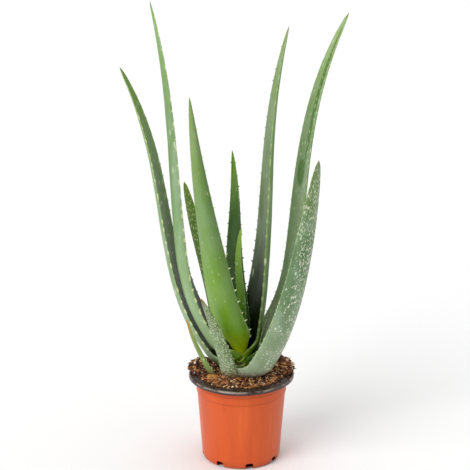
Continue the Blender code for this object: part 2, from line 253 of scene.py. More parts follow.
class Wiring:
    """Adds nodes to a tree, and links or sets their inputs."""

    def __init__(self, tree: NodeTree) -> None:
        """Args: tree: the node tree to add to."""
        self.tree = tree

    def put(self, socket: NodeSocket, value: object) -> None:
        """Link a socket to another, or set its value.

        Args:
            socket: the input.
            value: the socket that feeds it, or its value.
        """
        if isinstance(value, NodeSocket):
            self.tree.links.new(value, socket)
        elif isinstance(value, tuple) and len(value) == 3 and socket.type == "RGBA":
            socket.default_value = (*value, 1.0)
        else:
            socket.default_value = value

    def node(self, kind: str, inputs: dict | None = None, **settings: object) -> Node:
        """Add a node.

        Args:
            kind: the node's type.
            inputs: values or sockets, by the input's name or number.
            settings: the node's own properties.

        Returns:
            The node.
        """
        made = self.tree.nodes.new(kind)
        for key, value in settings.items():
            setattr(made, key, value)
        for key, value in (inputs or {}).items():
            self.put(made.inputs[key], value)
        return made

    def out(self, kind: str, inputs: dict | None = None, **settings: object) -> NodeSocket:
        """Add a node, and give its first output."""
        return self.node(kind, inputs, **settings).outputs[0]

    def maths(self, operation: str, *values: object, clamp: bool = False) -> NodeSocket:
        """Add a Math node.

        Args:
            operation: its operation.
            values: its inputs.
            clamp: whether the result is kept between 0 and 1.

        Returns:
            Its output.
        """
        return self.out("ShaderNodeMath", dict(enumerate(values)), operation=operation,
                        use_clamp=clamp)

    def times(self, one: object, other: object) -> NodeSocket:
        """The product of two values."""
        return self.maths("MULTIPLY", one, other)

    def plus(self, one: object, other: object) -> NodeSocket:
        """The sum of two values."""
        return self.maths("ADD", one, other)

    def minus(self, one: object, other: object) -> NodeSocket:
        """The first value less the second."""
        return self.maths("SUBTRACT", one, other)

    def scaled_plus(self, value: object, factor: object, offset: object) -> NodeSocket:
        """A value times a factor, plus an offset."""
        return self.maths("MULTIPLY_ADD", value, factor, offset)


class Shading(Wiring):
    """Wiring for materials and shader groups."""

    def ease(self, value: object, start: object, end: object,
             low: float = 0.0, high: float = 1.0) -> NodeSocket:
        """A smooth step of a value from low, at start, to high, at end."""
        return self.out("ShaderNodeMapRange", {
            "Value": value, "From Min": start, "From Max": end, "To Min": low, "To Max": high},
            interpolation_type="SMOOTHSTEP")

    def mix(self, factor: object, one: object, other: object,
            blend: str = "MIX") -> NodeSocket:
        """Blend two colours.

        Args:
            factor: how much of the second colour is used.
            one: the first colour.
            other: the second colour.
            blend: the way they are blended.

        Returns:
            The blended colour.
        """
        made = self.node("ShaderNodeMix", data_type="RGBA", blend_type=blend)
        self.put(made.inputs[0], factor)
        self.put(made.inputs[6], one)
        self.put(made.inputs[7], other)
        return made.outputs[2]

    def ramp(self, factor: object, stops: tuple[tuple[float, Colour], ...]) -> NodeSocket:
        """A colour that changes smoothly along a value.

        Args:
            factor: the value.
            stops: places from 0 to 1, each with its colour.

        Returns:
            The colour.
        """
        made = self.node("ShaderNodeValToRGB", {0: factor})
        elements = made.color_ramp.elements
        while len(elements) < len(stops):
            elements.new(0.5)
        for element, (place, colour) in zip(elements, stops):
            element.position = place
            element.color = (*colour, 1.0)
        made.color_ramp.interpolation = "EASE"
        return made.outputs[0]

    def noise(self, vector: object, scale: float, detail: float = 3.0,
              roughness: float = 0.55) -> NodeSocket:
        """Fractal noise, from 0 to 1, at a number of lumps per metre."""
        return self.out("ShaderNodeTexNoise", {
            "Vector": vector, "Scale": scale, "Detail": detail, "Roughness": roughness})

    def scaled(self, vector: object, factors: tuple[float, float, float]) -> NodeSocket:
        """A vector times a factor on each axis."""
        return self.out("ShaderNodeVectorMath", {0: vector, 1: factors}, operation="MULTIPLY")

    def parts(self, vector: object) -> tuple[NodeSocket, ...]:
        """The X, Y and Z of a vector."""
        return tuple(self.node("ShaderNodeSeparateXYZ", {0: vector}).outputs)

    def uv(self, name: str) -> NodeSocket:
        """The coordinates of a UV map."""
        return self.out("ShaderNodeUVMap", uv_map=name)

    def attribute(self, name: str) -> Node:
        """The node that reads a stored attribute."""
        return self.node("ShaderNodeAttribute", attribute_name=name)

    def place(self) -> NodeSocket:
        """The place in the object's own space, in metres."""
        return self.node("ShaderNodeTexCoord").outputs["Object"]

    def group(self, tree: NodeTree, **inputs: object) -> NodeSocket:
        """Place a node group, with its inputs named in lower case, and give its first output.

        Args:
            tree: the group.
            inputs: its inputs, named in lower case.

        Returns:
            Its first output.
        """
        made = self.node("ShaderNodeGroup", node_tree=tree)
        for key, value in inputs.items():
            self.put(made.inputs[key.replace("_", " ").capitalize()], value)
        return made.outputs[0]


def new_group(name: str, inputs: dict[str, str], output: str,
              build: Callable[[Shading, dict], NodeSocket]) -> NodeTree:
    """Make a shader node group with one output value.

    Args:
        name: the group's name.
        inputs: each input's name and kind of socket.
        output: the output's name.
        build: wires the group from its inputs, and returns the result's socket.

    Returns:
        The group.
    """
    tree = bpy.data.node_groups.new(name, "ShaderNodeTree")
    for title, kind in inputs.items():
        tree.interface.new_socket(title, in_out="INPUT", socket_type=f"NodeSocket{kind}")
    tree.interface.new_socket(output, in_out="OUTPUT", socket_type="NodeSocketFloat")
    shading = Shading(tree)
    entry = shading.node("NodeGroupInput")
    result = build(shading, {title: entry.outputs[title] for title in inputs})
    shading.node("NodeGroupOutput", {0: result})
    return tree


class Effects:
    """The shader groups that more than one material uses."""

    def __init__(self) -> None:
        """Build each group once."""
        self.flecks = new_group(
            "pale_flecks", {"Surface": "Vector", "Density": "Float", "Stretch": "Float",
                            "Coverage": "Float", "Size": "Float", "Seed": "Float"},
            "Mask", self._flecks)
        self.fibres = new_group(
            "lengthwise_fibres", {"Surface": "Vector", "Density": "Float",
                                  "Seed": "Float"}, "Value", self._fibres)
        self.soil_dust = new_group(
            "soil_dust", {"Place": "Vector", "Level": "Float", "Reach": "Float"},
            "Mask", self._soil_dust)
        self.grain = new_group(
            "fine_grain", {"Place": "Vector", "Density": "Float", "Contrast": "Float"},
            "Value", self._grain)

    @staticmethod
    def _flecks(shading: Shading, given: dict) -> NodeSocket:
        """Scattered oval marks, longer along the surface's Y than across it.

        Args:
            shading: the group's wiring.
            given: its inputs, by name.

        Returns:
            The marks' mask.
        """
        across, along, _ = shading.parts(given["Surface"])
        shift = shading.times(given["Seed"], 3.7)
        x = shading.plus(shading.times(across, given["Density"]), shift)
        slow = shading.maths("DIVIDE", given["Density"], given["Stretch"])
        y = shading.plus(shading.times(along, slow), shift)
        cell = shading.node("ShaderNodeCombineXYZ", {0: x, 1: y})
        spot = shading.node("ShaderNodeTexVoronoi", {"Vector": cell.outputs[0], "Scale": 1.0},
                            voronoi_dimensions="2D")
        chance, luck, _ = shading.parts(spot.outputs["Color"])
        radius = shading.times(given["Size"],
                               shading.scaled_plus(luck, 0.6, 0.4))
        inner = shading.times(radius, 0.45)
        mask = shading.ease(spot.outputs["Distance"], radius, inner)
        there = shading.maths("LESS_THAN", chance, given["Coverage"])
        return shading.times(mask, there)

    @staticmethod
    def _fibres(shading: Shading, given: dict) -> NodeSocket:
        """Fine lines that run along the surface's Y.

        Args:
            shading: the group's wiring.
            given: its inputs, by name.

        Returns:
            A value round 0.5.
        """
        across, along, _ = shading.parts(given["Surface"])
        x = shading.times(across, given["Density"])
        y = shading.times(along, shading.times(given["Density"], 0.03))
        place = shading.node("ShaderNodeCombineXYZ", {0: x, 1: y, 2: given["Seed"]})
        return shading.noise(place.outputs[0], 1.0, 2.0)

    @staticmethod
    def _soil_dust(shading: Shading, given: dict) -> NodeSocket:
        """Crumbs and dust that cling to what rises from the soil, up to a ragged line.

        Args:
            shading: the group's wiring.
            given: its inputs, by name.

        Returns:
            The dust's mask.
        """
        height = shading.parts(given["Place"])[2]
        ragged = shading.noise(given["Place"], 420.0, 4.0, 0.7)
        lift = shading.times(shading.minus(ragged, 0.5), given["Reach"])
        top = shading.plus(given["Level"], given["Reach"])
        level = shading.plus(height, shading.times(lift, 3.2))
        return shading.ease(level, top, given["Level"])

    @staticmethod
    def _grain(shading: Shading, given: dict) -> NodeSocket:
        """Fine mottling round 0.5.

        Args:
            shading: the group's wiring.
            given: its inputs, by name.

        Returns:
            The value.
        """
        speck = shading.node("ShaderNodeTexNoise", {"Vector": given["Place"],
                                                    "Scale": given["Density"], "Detail": 4.0})
        offset = shading.minus(speck.outputs[0], 0.5)
        return shading.maths("MULTIPLY_ADD", offset, given["Contrast"], 0.5, clamp=True)


EFFECTS = Effects()


class Paint(Shading):
    """A material, wired round its Principled shader."""

    def __init__(self, name: str) -> None:
        """Args: name: the material's name."""
        self.material = bpy.data.materials.new(name)
        self.material.use_nodes = True
        super().__init__(self.material.node_tree)

    def dressed(self, colour: object, roughness: object, relief: object = None,
                depth: float = 0.0, gloss: float = 0.5) -> Material:
        """Wire the shader, and give the finished material.

        Args:
            colour: the base colour.
            roughness: the roughness.
            relief: the bump's height, between 0 and 1, if it has one.
            depth: how deep the bump is, in metres.
            gloss: the strength of the reflection, 0.5 for most plastics.

        Returns:
            The material.
        """
        sockets = self.tree.nodes["Principled BSDF"].inputs
        self.put(sockets["Base Color"], colour)
        self.put(sockets["Roughness"], roughness)
        self.put(sockets["Specular IOR Level"], gloss)
        if relief is not None:
            self.put(sockets["Normal"], self.out("ShaderNodeBump", {
                "Height": relief, "Distance": depth, "Strength": 1.0}))
        return self.material


# ---- Leaf finishes ----

FACE_LANE = 2.0  # what a leaf's map adds to the share across on the face


@dataclass(frozen=True)
class Flecks:
    """Pale marks on a leaf: how many, how large, and where.

    Density is in cells per metre across the leaf. Back and face are the shares of cells that
    hold a mark on each side, foot and tip scale them along the leaf, and sided moves them
    towards the margin at positive or negative across.
    """
    density: float = 260.0
    stretch: float = 2.4
    size: float = 0.30
    back: float = 0.10
    face: float = 0.10
    foot: float = 1.0
    tip: float = 1.0
    sided: float = 0.0
    strength: float = 0.8


@dataclass(frozen=True)
class LeafFinish:
    """The colours of one leaf, at PLACES from foot to tip on each side, and what marks it.

    The ramps carry painted light and shade: most faces are darkest at the foot, painted shade
    down in the channel and the crown, and a few backs are brightened at the foot, painted light.
    Rubs are ovals where the bloom is wiped off: their place across and along, on the face's
    half of the surface map, and their half sizes. Edge glow is a pale line along the margin,
    edge dashes are brighter strokes on it, the flank setting paints shade over the leaf towards
    one margin, and face bloom scales the bloom on the face.
    """
    back: tuple[Colour, Colour, Colour, Colour]
    face: tuple[Colour, Colour, Colour, Colour]
    flecks: Flecks
    bloom: float = 0.30
    margin: Colour = srgb(186, 206, 150)
    mark: Colour = srgb(214, 224, 186)
    tip: Colour = srgb(118, 134, 52)
    tip_share: float = 0.016
    soil: float = 0.7
    rubs: tuple[tuple[float, float, float, float], ...] = ()
    edge_glow: float = 0.35
    edge_dashes: float = 0.55
    flank_shade: float = 0.0
    face_bloom: float = 1.0

    BLOOM = srgb(178, 196, 172)
    SOIL = srgb(112, 74, 44)
    RUB = srgb(74, 116, 38)
    PLACES = (0.0, 0.16, 0.6, 1.0)
    RELIEF = 0.00022
    GLOSS = 0.35

    def material(self, name: str, seed: float) -> Material:
        """Build the leaf's material.

        Args:
            name: the material's name.
            seed: moves the patterns, so that no two leaves have the same.

        Returns:
            The material.
        """
        paint = Paint(name)
        place_x, share, _ = paint.parts(paint.uv("Place"))
        surface = paint.uv("Surface")
        is_face = paint.maths("GREATER_THAN", place_x, FACE_LANE - 0.5)
        across = paint.minus(place_x, paint.times(is_face, FACE_LANE))
        signed = paint.scaled_plus(across, 2.0, -1.0)
        edge = paint.maths("ABSOLUTE", signed)
        # The side ramps carry painted shade and light as well as the leaf's own colour.
        colour = paint.mix(is_face, paint.ramp(share, tuple(zip(self.PLACES, self.back))),
                           paint.ramp(share, tuple(zip(self.PLACES, self.face))))

        fibres = paint.group(EFFECTS.fibres, surface=surface, density=900.0, seed=seed)
        veins = paint.ease(fibres, 0.35, 0.70)
        colour = paint.mix(paint.times(veins, 0.22), colour, (0.42, 0.55, 0.30), "MULTIPLY")
        patches = paint.noise(paint.scaled(paint.place(), (1.0, 1.0, 0.35)), 48.0 + seed)
        powder = paint.ease(patches, 0.38, 0.66)
        bloom = paint.times(powder, self.bloom)
        bloom = paint.times(bloom, paint.ease(share, 0.015, 0.09))
        # Painted shade: less bloom on the face towards the foot, down in the channel.
        shaded = paint.times(is_face, paint.ease(share, 0.45, 0.15))
        bloom = paint.times(bloom, paint.minus(1.0, shaded))
        bloom = paint.times(bloom, paint.scaled_plus(is_face, self.face_bloom - 1.0, 1.0))
        for rub in self.rubs:
            bloom, colour = self._rubbed(paint, surface, rub, bloom, colour)
        colour = paint.mix(bloom, colour, self.BLOOM)
        # Painted shade over the leaf towards one margin.
        if self.flank_shade:
            away = paint.ease(signed, 0.1, -0.9 if self.flank_shade > 0 else 0.9)
            colour = paint.mix(paint.times(away, abs(self.flank_shade)), colour,
                               (0.30, 0.40, 0.30), "MULTIPLY")

        line = paint.ease(edge, 0.955, 0.992)
        strokes = paint.noise(paint.scaled(surface, (0.0, 1.0, 0.0)), 105.0 + seed, 1.0)
        dashes = paint.ease(strokes, 0.50, 0.60, self.edge_glow, self.edge_dashes
                            + self.edge_glow)
        colour = paint.mix(paint.times(line, dashes), colour, self.margin)
        marks = self._marks(paint, surface, is_face, share, signed, seed)
        colour = paint.mix(marks, colour, self.mark)
        withered = paint.ease(share, 1.0 - 1.6 * self.tip_share, 1.0 - 0.3 * self.tip_share)
        colour = paint.mix(withered, colour, self.tip)
        soil = paint.group(EFFECTS.soil_dust, place=paint.place(), level=LIP_HEIGHT + 0.004,
                           reach=0.011)
        soil = paint.times(soil, self.soil)
        colour = paint.mix(soil, colour, self.SOIL)

        rough = paint.scaled_plus(soil, 0.35, paint.scaled_plus(bloom, 0.25, 0.40))
        fine = paint.noise(paint.place(), 1500.0, 2.0)
        height = paint.scaled_plus(marks, 0.5, paint.times(veins, 0.35))
        height = paint.scaled_plus(fine, 0.25, height)
        return paint.dressed(colour, rough, height, self.RELIEF, self.GLOSS)

    def _rubbed(self, shading: Shading, surface: NodeSocket,
                rub: tuple[float, float, float, float], bloom: object,
                colour: object) -> tuple[NodeSocket, NodeSocket]:
        """A patch where the bloom has been wiped off, and the leaf is darker.

        Args:
            shading: the material's wiring.
            surface: metres across and along the leaf.
            rub: the patch.
            bloom: how much bloom there is.
            colour: the leaf's colour.

        Returns:
            The bloom and the colour with the patch.
        """
        across, along, half_width, half_length = rub
        x, y, _ = shading.parts(surface)
        dx = shading.maths("DIVIDE", shading.minus(x, across), half_width)
        dy = shading.maths("DIVIDE", shading.minus(y, along), half_length)
        far = shading.maths("SQRT", shading.plus(shading.times(dx, dx), shading.times(dy, dy)))
        wiped = shading.ease(far, 1.15, 0.75)
        kept = shading.minus(1.0, wiped)
        darker = shading.mix(shading.times(wiped, 0.8), colour, self.RUB)
        return shading.times(bloom, kept), darker

    def _marks(self, shading: Shading, surface: NodeSocket,
               is_face: object, share: object, signed: object,
               seed: float) -> NodeSocket:
        """The mask of pale marks: large ones, and small ones between them.

        Args:
            shading: the material's wiring.
            surface: metres across and along the leaf.
            is_face: 1 on the face.
            share: the share along the leaf.
            signed: -1 to 1 across it.
            seed: moves the pattern.

        Returns:
            The mask.
        """
        flecks = self.flecks
        side = shading.scaled_plus(is_face, flecks.face - flecks.back, flecks.back)
        reach = shading.ease(share, 0.05, 0.85, flecks.foot, flecks.tip)
        lopsided = shading.scaled_plus(signed, flecks.sided, 1.0)
        coverage = shading.times(shading.times(side, reach), lopsided)
        large = shading.group(EFFECTS.flecks, surface=surface, density=flecks.density,
                              stretch=flecks.stretch, coverage=coverage, size=flecks.size,
                              seed=seed)
        small = shading.group(EFFECTS.flecks, surface=surface, density=flecks.density * 1.9,
                              stretch=flecks.stretch * 0.8, coverage=shading.times(coverage, 0.6),
                              size=flecks.size, seed=seed + 4.0)
        both = shading.maths("MAXIMUM", large, shading.times(small, 0.7))
        return shading.times(both, flecks.strength)


# ---- Leaves ----

@dataclass(frozen=True)
class Crown:
    """The short stem: where its cone stands, which sets the height of every leaf's foot."""
    rise: float = 0.0290
    tip_radius: float = 0.0020
    slope: float = 0.80
    flare: float = 80.0
    radius: float = 0.0230
    stump_radius: float = 0.0110

    def foot_height(self, nest: float) -> float:
        """Height on the cone at a distance from the axis."""
        reach = nest - self.tip_radius
        return LIP_HEIGHT + self.rise - reach * self.slope - reach * reach * self.flare

    def build(self) -> Object:
        """Make the cone, ringed by the scars of old leaves.

        Returns:
            The cone.
        """
        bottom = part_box("crown")[0].z
        outline = [(0.0, bottom), (0.7 * self.stump_radius, bottom)]
        outline += [(self.stump_radius, bottom + share * 0.010) for share in (0.3, 0.6, 1.0)]
        edge = self.foot_height(self.radius)
        outline.append((self.radius, edge))
        steps = 44
        for k in reversed(range(steps)):
            radius = self.tip_radius + (self.radius - self.tip_radius) * k / steps
            scar = 0.00035 * math.sin(radius * 3600.0)
            outline.append((radius + scar, self.foot_height(radius)))
        outline.append((0.0, LIP_HEIGHT + self.rise))
        sides = 72
        rings = []
        for radius, height in outline:
            around = sides if radius else 1
            ring = []
            for i in range(around):
                turn = math.tau * i / sides
                point = Vector(polar(radius, turn, height))
                ring.append(point + point.normalized() * 0.0006 * noise.noise(point * 220.0))
            rings.append(ring)
        piece = new_piece("crown_cone", loft_mesh("crown_cone", rings), self._material())
        settle(piece, "crown", "crown")
        return piece

    @staticmethod
    def _material() -> Material:
        """Pale flesh with brown, papery rings.

        Returns:
            The material.
        """
        paint = Paint("crown_flesh")
        place = paint.place()
        fibre = paint.noise(paint.scaled(place, (1.0, 1.0, 6.0)), 260.0, 5.0, 0.65)
        husk = paint.ramp(fibre, ((0.30, srgb(48, 40, 16)), (0.50, srgb(74, 84, 24)),
                                  (0.66, srgb(96, 122, 40)), (0.80, srgb(150, 150, 90))))
        flesh = paint.ramp(fibre, ((0.30, srgb(104, 136, 4)), (0.70, srgb(150, 182, 30))))
        young = paint.ease(paint.parts(place)[2], LIP_HEIGHT + 0.014, LIP_HEIGHT + 0.020)
        colour = paint.mix(young, husk, flesh)
        soil = paint.group(EFFECTS.soil_dust, place=place, level=LIP_HEIGHT + 0.006, reach=0.012)
        colour = paint.mix(paint.times(soil, 0.8), colour, LeafFinish.SOIL)
        return paint.dressed(colour, paint.scaled_plus(fibre, 0.3, 0.5), fibre, 0.0006)


@dataclass(frozen=True)
class Leaf:
    """One leaf: where it leaves the crown, how it stands, its section, and its finish.

    Angles are in degrees. Azimuth is measured from +X, lean from upright, foot to tip and
    closer together near the foot, wrap and channel are the half angles that the foot and the
    blade curl through, and blunt is 0 where the leaf narrows evenly and 1 where it stays broad.
    Nest is the foot's distance from the axis, teeth is the length of a tooth, and twist turns
    the blade about its own length, from none at the foot to all of it at TWISTED_BY.
    """
    name: str
    slot: str
    azimuth: float
    nest: float
    length: float
    lean: tuple[float, ...]
    width: float
    thickness: float
    wrap: float
    sheath: float
    channel: float
    blunt: float
    finish: LeafFinish
    teeth: float = 0.0024
    # True where the teeth are painted in shade, darker than the rest.
    shade_painted_teeth: bool = False
    twist: float = 0.0

    SHEATH_THICKNESS = 0.0017
    LEAN_SPACING = 0.6
    TWISTED_BY = 0.4
    THINNING = 0.52
    TIP_UNCURL = 0.45
    BACK_SHARE = 0.72
    TIP_START = 0.978
    FACE_OFFSET = 0.2
    STATIONS = 120
    BACK_STEPS = 26
    FACE_STEPS = 20

    def axes(self, share: float) -> tuple[Vector, Vector, Vector]:
        """Directions along the leaf, across it, and in towards the plant's axis.

        Args:
            share: the place along the leaf.

        Returns:
            The three unit vectors.
        """
        turn = math.radians(self.azimuth)
        lean = math.radians(blended(self.lean, share ** self.LEAN_SPACING))
        out = Vector(polar(1.0, turn, 0.0))
        up = Vector((0.0, 0.0, 1.0))
        along = out * math.sin(lean) + up * math.cos(lean)
        inward = up * math.sin(lean) - out * math.cos(lean)
        roll = math.radians(self.twist) * eased(share / self.TWISTED_BY)
        inward = inward * math.cos(roll) + along.cross(inward) * math.sin(roll)
        return along, along.cross(inward), inward

    def spine(self, crown: Crown, shares: list[float]) -> list[Vector]:
        """The leaf's axis, at each share of its length.

        Args:
            crown: the stem that it grows from.
            shares: the places, in order.

        Returns:
            The points.
        """
        turn = math.radians(self.azimuth)
        place = Vector(polar(self.nest, turn, crown.foot_height(self.nest)))
        places = []
        done = 0.0
        steps = 4
        for share in shares:
            for k in range(steps):
                middle = done + (share - done) * (k + 0.5) / steps
                place = place + self.axes(middle)[0] * (self.length * (share - done) / steps)
            done = share
            places.append(place.copy())
        return places

    def curl(self, share: float) -> tuple[float, float, float]:
        """The section's half angle, its middle radius and its thickness at a share.

        Args:
            share: the place along the leaf.

        Returns:
            The angle in radians, and the radius and the thickness in metres.
        """
        opened = eased(share * self.length / self.sheath)
        wrap = math.radians(self.wrap)
        channel = math.radians(self.channel) * (1 - (1 - self.TIP_UNCURL) * share)
        curl = wrap + (channel - wrap) * opened
        full = min(share, self.TIP_START)
        point = 1.0 if share <= self.TIP_START else (1.0 - share) / (1.0 - self.TIP_START)
        foot_width = 2 * wrap * self.nest
        narrowing = (1 - self.blunt) * (1 - full) + self.blunt * math.sqrt(1 - full * full)
        width = foot_width + (self.width * narrowing - foot_width) * opened
        thick = self.SHEATH_THICKNESS + (self.thickness * (1 - full) ** self.THINNING
                                         - self.SHEATH_THICKNESS) * opened
        return curl, width * point / (2 * curl), thick * point ** 0.8

    def section_point(self, share: float, step: float, side: float) -> tuple[float, float]:
        """A point of the section, across and inward.

        Args:
            share: the place along the leaf.
            step: the place across it, -1 to 1.
            side: the share of the thickness that bulges there, negative on the face.

        Returns:
            The point, from the leaf's axis.
        """
        curl, radius, thick = self.curl(share)
        out = radius + thick * side * math.sqrt(max(1 - step * step, 0.0))
        return out * math.sin(curl * step), radius - out * math.cos(curl * step)

    def blade(self, crown: Crown) -> Mesh:
        """The leaf's body as a closed loft, with its two UV maps.

        Place holds the share across, plus FACE_LANE on the face, and the share along. Surface
        holds metres across, plus FACE_OFFSET on the face, and along.

        Args:
            crown: the stem that it grows from.

        Returns:
            The mesh.
        """
        count = self.STATIONS
        shares = [(k / count) ** 1.15 for k in range(count)]
        spine = self.spine(crown, shares + [1.0])
        back = [-math.cos(math.pi * k / self.BACK_STEPS) for k in range(self.BACK_STEPS + 1)]
        face = [math.cos(math.pi * k / self.FACE_STEPS) for k in range(1, self.FACE_STEPS)]
        ring = [(step, self.BACK_SHARE) for step in back]
        ring += [(step, self.BACK_SHARE - 1) for step in face]
        points, spots = [], []
        for share, place in zip(shares, spine):
            _, across, inward = self.axes(share)
            half = self.width / 2
            for step, side in ring:
                x, y = self.section_point(share, step, side)
                point = place + across * x + inward * y
                wave = noise.noise(Vector((step * 1.6, share * self.length * 26.0, self.azimuth)))
                swell = 0.0005 * wave * (1 - step * step) * math.copysign(1.0, -side)
                points.append(point + inward * swell)
                spots.append((step, share, step * half, share * self.length))
        size = len(ring)
        faces = [tuple(range(size))]
        for k in range(count - 1):
            for i in range(size):
                j = (i + 1) % size
                faces.append((k * size + j, k * size + i, (k + 1) * size + i, (k + 1) * size + j))
        points.append(spine[-1])
        spots.append((0.0, 1.0, 0.0, self.length))
        tip = len(points) - 1
        last = (count - 1) * size
        faces += [(last + (i + 1) % size, last + i, tip) for i in range(size)]
        mesh = bpy.data.meshes.new(self.name)
        mesh.from_pydata(points, [], faces)
        self._map(mesh, spots, size)
        mesh.shade_smooth()
        return mesh

    def _map(self, mesh: Mesh, spots: list[tuple], size: int) -> None:
        """Fill the UV maps, with the face's coordinates kept apart from the back's.

        Args:
            mesh: the blade.
            spots: each point's step, share, and metres across and along.
            size: how many points each ring has.
        """
        place_map = mesh.uv_layers.new(name="Place")
        surface_map = mesh.uv_layers.new(name="Surface")
        for polygon in mesh.polygons:
            lane = (polygon.index - 1) % size
            on_face = polygon.index > 0 and lane >= self.BACK_STEPS
            for loop in polygon.loop_indices:
                step, share, across, along = spots[mesh.loops[loop].vertex_index]
                place_map.data[loop].uv = (step * 0.5 + 0.5 + FACE_LANE * on_face, share)
                surface_map.data[loop].uv = (across + self.FACE_OFFSET * on_face, along)

    def margins(self, crown: Crown) -> Mesh:
        """The two edges of the blade as lines, with the direction that their teeth point in.

        Args:
            crown: the stem that it grows from.

        Returns:
            The lines.
        """
        count = 80
        start = min(0.55 * self.sheath / self.length, 0.3)
        shares = [start + (0.93 - start) * k / count for k in range(count + 1)]
        spine = self.spine(crown, shares)
        points, outward, tangent, size, edges = [], [], [], [], []
        for side in (-1.0, 1.0):
            first = len(points)
            for share, place in zip(shares, spine):
                along, across, inward = self.axes(share)
                curl = self.curl(share)[0] * side
                x, y = self.section_point(share, side, 0.0)
                points.append(place + across * x + inward * y)
                outward.append((across * math.cos(curl) + inward * math.sin(curl)) * side)
                tangent.append(along)
                size.append(1.0 - 0.55 * share)
            edges += [(k, k + 1) for k in range(first, len(points) - 1)]
        mesh = bpy.data.meshes.new(f"{self.name}_margins")
        mesh.from_pydata(points, edges, [])
        point_values(mesh, "outward", "FLOAT_VECTOR", outward)
        point_values(mesh, "along", "FLOAT_VECTOR", tangent)
        point_values(mesh, "tooth_size", "FLOAT", size)
        return mesh


class GeometryWiring(Wiring):
    """Wiring for a geometry tree with named inputs, run once on a piece."""

    def __init__(self, name: str, inputs: dict[str, str]) -> None:
        """Make the tree.

        Args:
            name: the tree's name.
            inputs: each input's name and kind of socket, after the geometry.
        """
        tree = bpy.data.node_groups.new(name, "GeometryNodeTree")
        tree.interface.new_socket("Geometry", in_out="INPUT", socket_type="NodeSocketGeometry")
        tree.interface.new_socket("Geometry", in_out="OUTPUT", socket_type="NodeSocketGeometry")
        for title, kind in inputs.items():
            tree.interface.new_socket(title, in_out="INPUT", socket_type=f"NodeSocket{kind}")
        super().__init__(tree)
        self.given = self.node("NodeGroupInput").outputs

    def random(self, low: object, high: object, seed: object,
               kind: str = "FLOAT") -> NodeSocket:
        """A random number or vector for each point.

        Args:
            low: the least value.
            high: the greatest.
            seed: the seed.
            kind: FLOAT or FLOAT_VECTOR.

        Returns:
            The random value.
        """
        made = self.node("FunctionNodeRandomValue", data_type=kind)
        sockets = [s for s in made.inputs if s.enabled]
        self.put(sockets[0], low)
        self.put(sockets[1], high)
        self.put(made.inputs["Seed"], seed)
        return next(s for s in made.outputs if s.enabled)

    def vector_maths(self, operation: str, *values: object) -> NodeSocket:
        """Add a Vector Math node, and give its output.

        Args:
            operation: its operation.
            values: its inputs, the factor last for SCALE.

        Returns:
            Its output.
        """
        made = self.node("ShaderNodeVectorMath", operation=operation)
        for socket, value in zip(made.inputs, values):
            if operation == "SCALE" and value is values[-1]:
                socket = made.inputs["Scale"]
            self.put(socket, value)
        return made.outputs[0]

    def named(self, name: str, kind: str) -> NodeSocket:
        """Read a stored attribute."""
        return self.out("GeometryNodeInputNamedAttribute", {"Name": name}, data_type=kind)

    def end(self, instances: NodeSocket, material: NodeSocket) -> None:
        """Finish the tree: make the instances real, and give them their material.

        Args:
            instances: the instances.
            material: their material.
        """
        real = self.node("GeometryNodeRealizeInstances", {0: instances})
        painted = self.node("GeometryNodeSetMaterial", {"Geometry": real.outputs[0],
                                                        "Material": material})
        self.node("NodeGroupOutput", {0: painted.outputs[0]})

    def run(self, piece: Object, values: dict[str, object]) -> None:
        """Run the tree on a piece, and leave its result as a plain mesh.

        Args:
            piece: the piece whose mesh goes in.
            values: the tree's inputs, by name.
        """
        modifier = piece.modifiers.new(self.tree.name, "NODES")
        modifier.node_group = self.tree
        for item in self.tree.interface.items_tree:
            if item.in_out == "INPUT" and item.name in values:
                modifier[item.identifier] = values[item.name]
        plain_mesh(piece)


class ToothTree(GeometryWiring):
    """Sets small forward-leaning teeth along margin lines."""

    def __init__(self) -> None:
        """Build the tree."""
        super().__init__("margin_teeth", {
            "Spacing": "Float", "Tooth Length": "Float",
            "Seed": "Int", "Material": "Material"})
        given = self.given
        line = self.node("GeometryNodeMeshToCurve", {0: given["Geometry"]})
        stops = self.node("GeometryNodeResampleCurve", {"Curve": line.outputs[0],
                                                        "Length": given["Spacing"]}, mode="LENGTH")
        outward = self.named("outward", "FLOAT_VECTOR")
        along = self.named("along", "FLOAT_VECTOR")
        slide = self.vector_maths("SCALE", along, self.times(
            given["Spacing"], self.random(-0.22, 0.22, given["Seed"])))
        moved = self.node("GeometryNodeSetPosition", {"Geometry": stops.outputs[0],
                                                      "Offset": slide})
        upright = self.node("FunctionNodeAlignRotationToVector", {"Vector": outward}, axis="Z")
        turned = self.node("FunctionNodeAlignRotationToVector",
                           {"Rotation": upright.outputs[0], "Vector": along},
                           axis="X", pivot_axis="Z")
        size = self.times(self.named("tooth_size", "FLOAT"), self.times(
            given["Tooth Length"], self.random(0.7, 1.15, given["Seed"])))
        tooth = self.node("GeometryNodeInstanceOnPoints", {
            "Points": moved.outputs[0], "Instance": self._tooth(),
            "Rotation": turned.outputs[0], "Scale": size})
        self.end(tooth.outputs[0], given["Material"])

    def _tooth(self) -> NodeSocket:
        """One tooth of unit height: a flattened cone whose point leans to the leaf's tip.

        Returns:
            The tooth.
        """
        cone = self.node("GeometryNodeMeshCone", {
            "Vertices": 7, "Side Segments": 3, "Radius Top": 0.02, "Radius Bottom": 0.62,
            "Depth": 1.35})
        place = self.node("GeometryNodeInputPosition").outputs[0]
        split = self.node("ShaderNodeSeparateXYZ", {0: place})
        height = split.outputs[2]
        x = self.scaled_plus(self.times(height, height), 0.34, split.outputs[0])
        y = self.times(split.outputs[1], 0.42)
        z = self.minus(height, 0.35)
        shaped = self.node("ShaderNodeCombineXYZ", {0: x, 1: y, 2: z})
        leaning = self.node("GeometryNodeSetPosition", {"Geometry": cone.outputs[0],
                                                        "Position": shaped.outputs[0]})
        return leaning.outputs[0]


GREY_MARK = srgb(206, 218, 180)
CREAM = srgb(232, 234, 176)
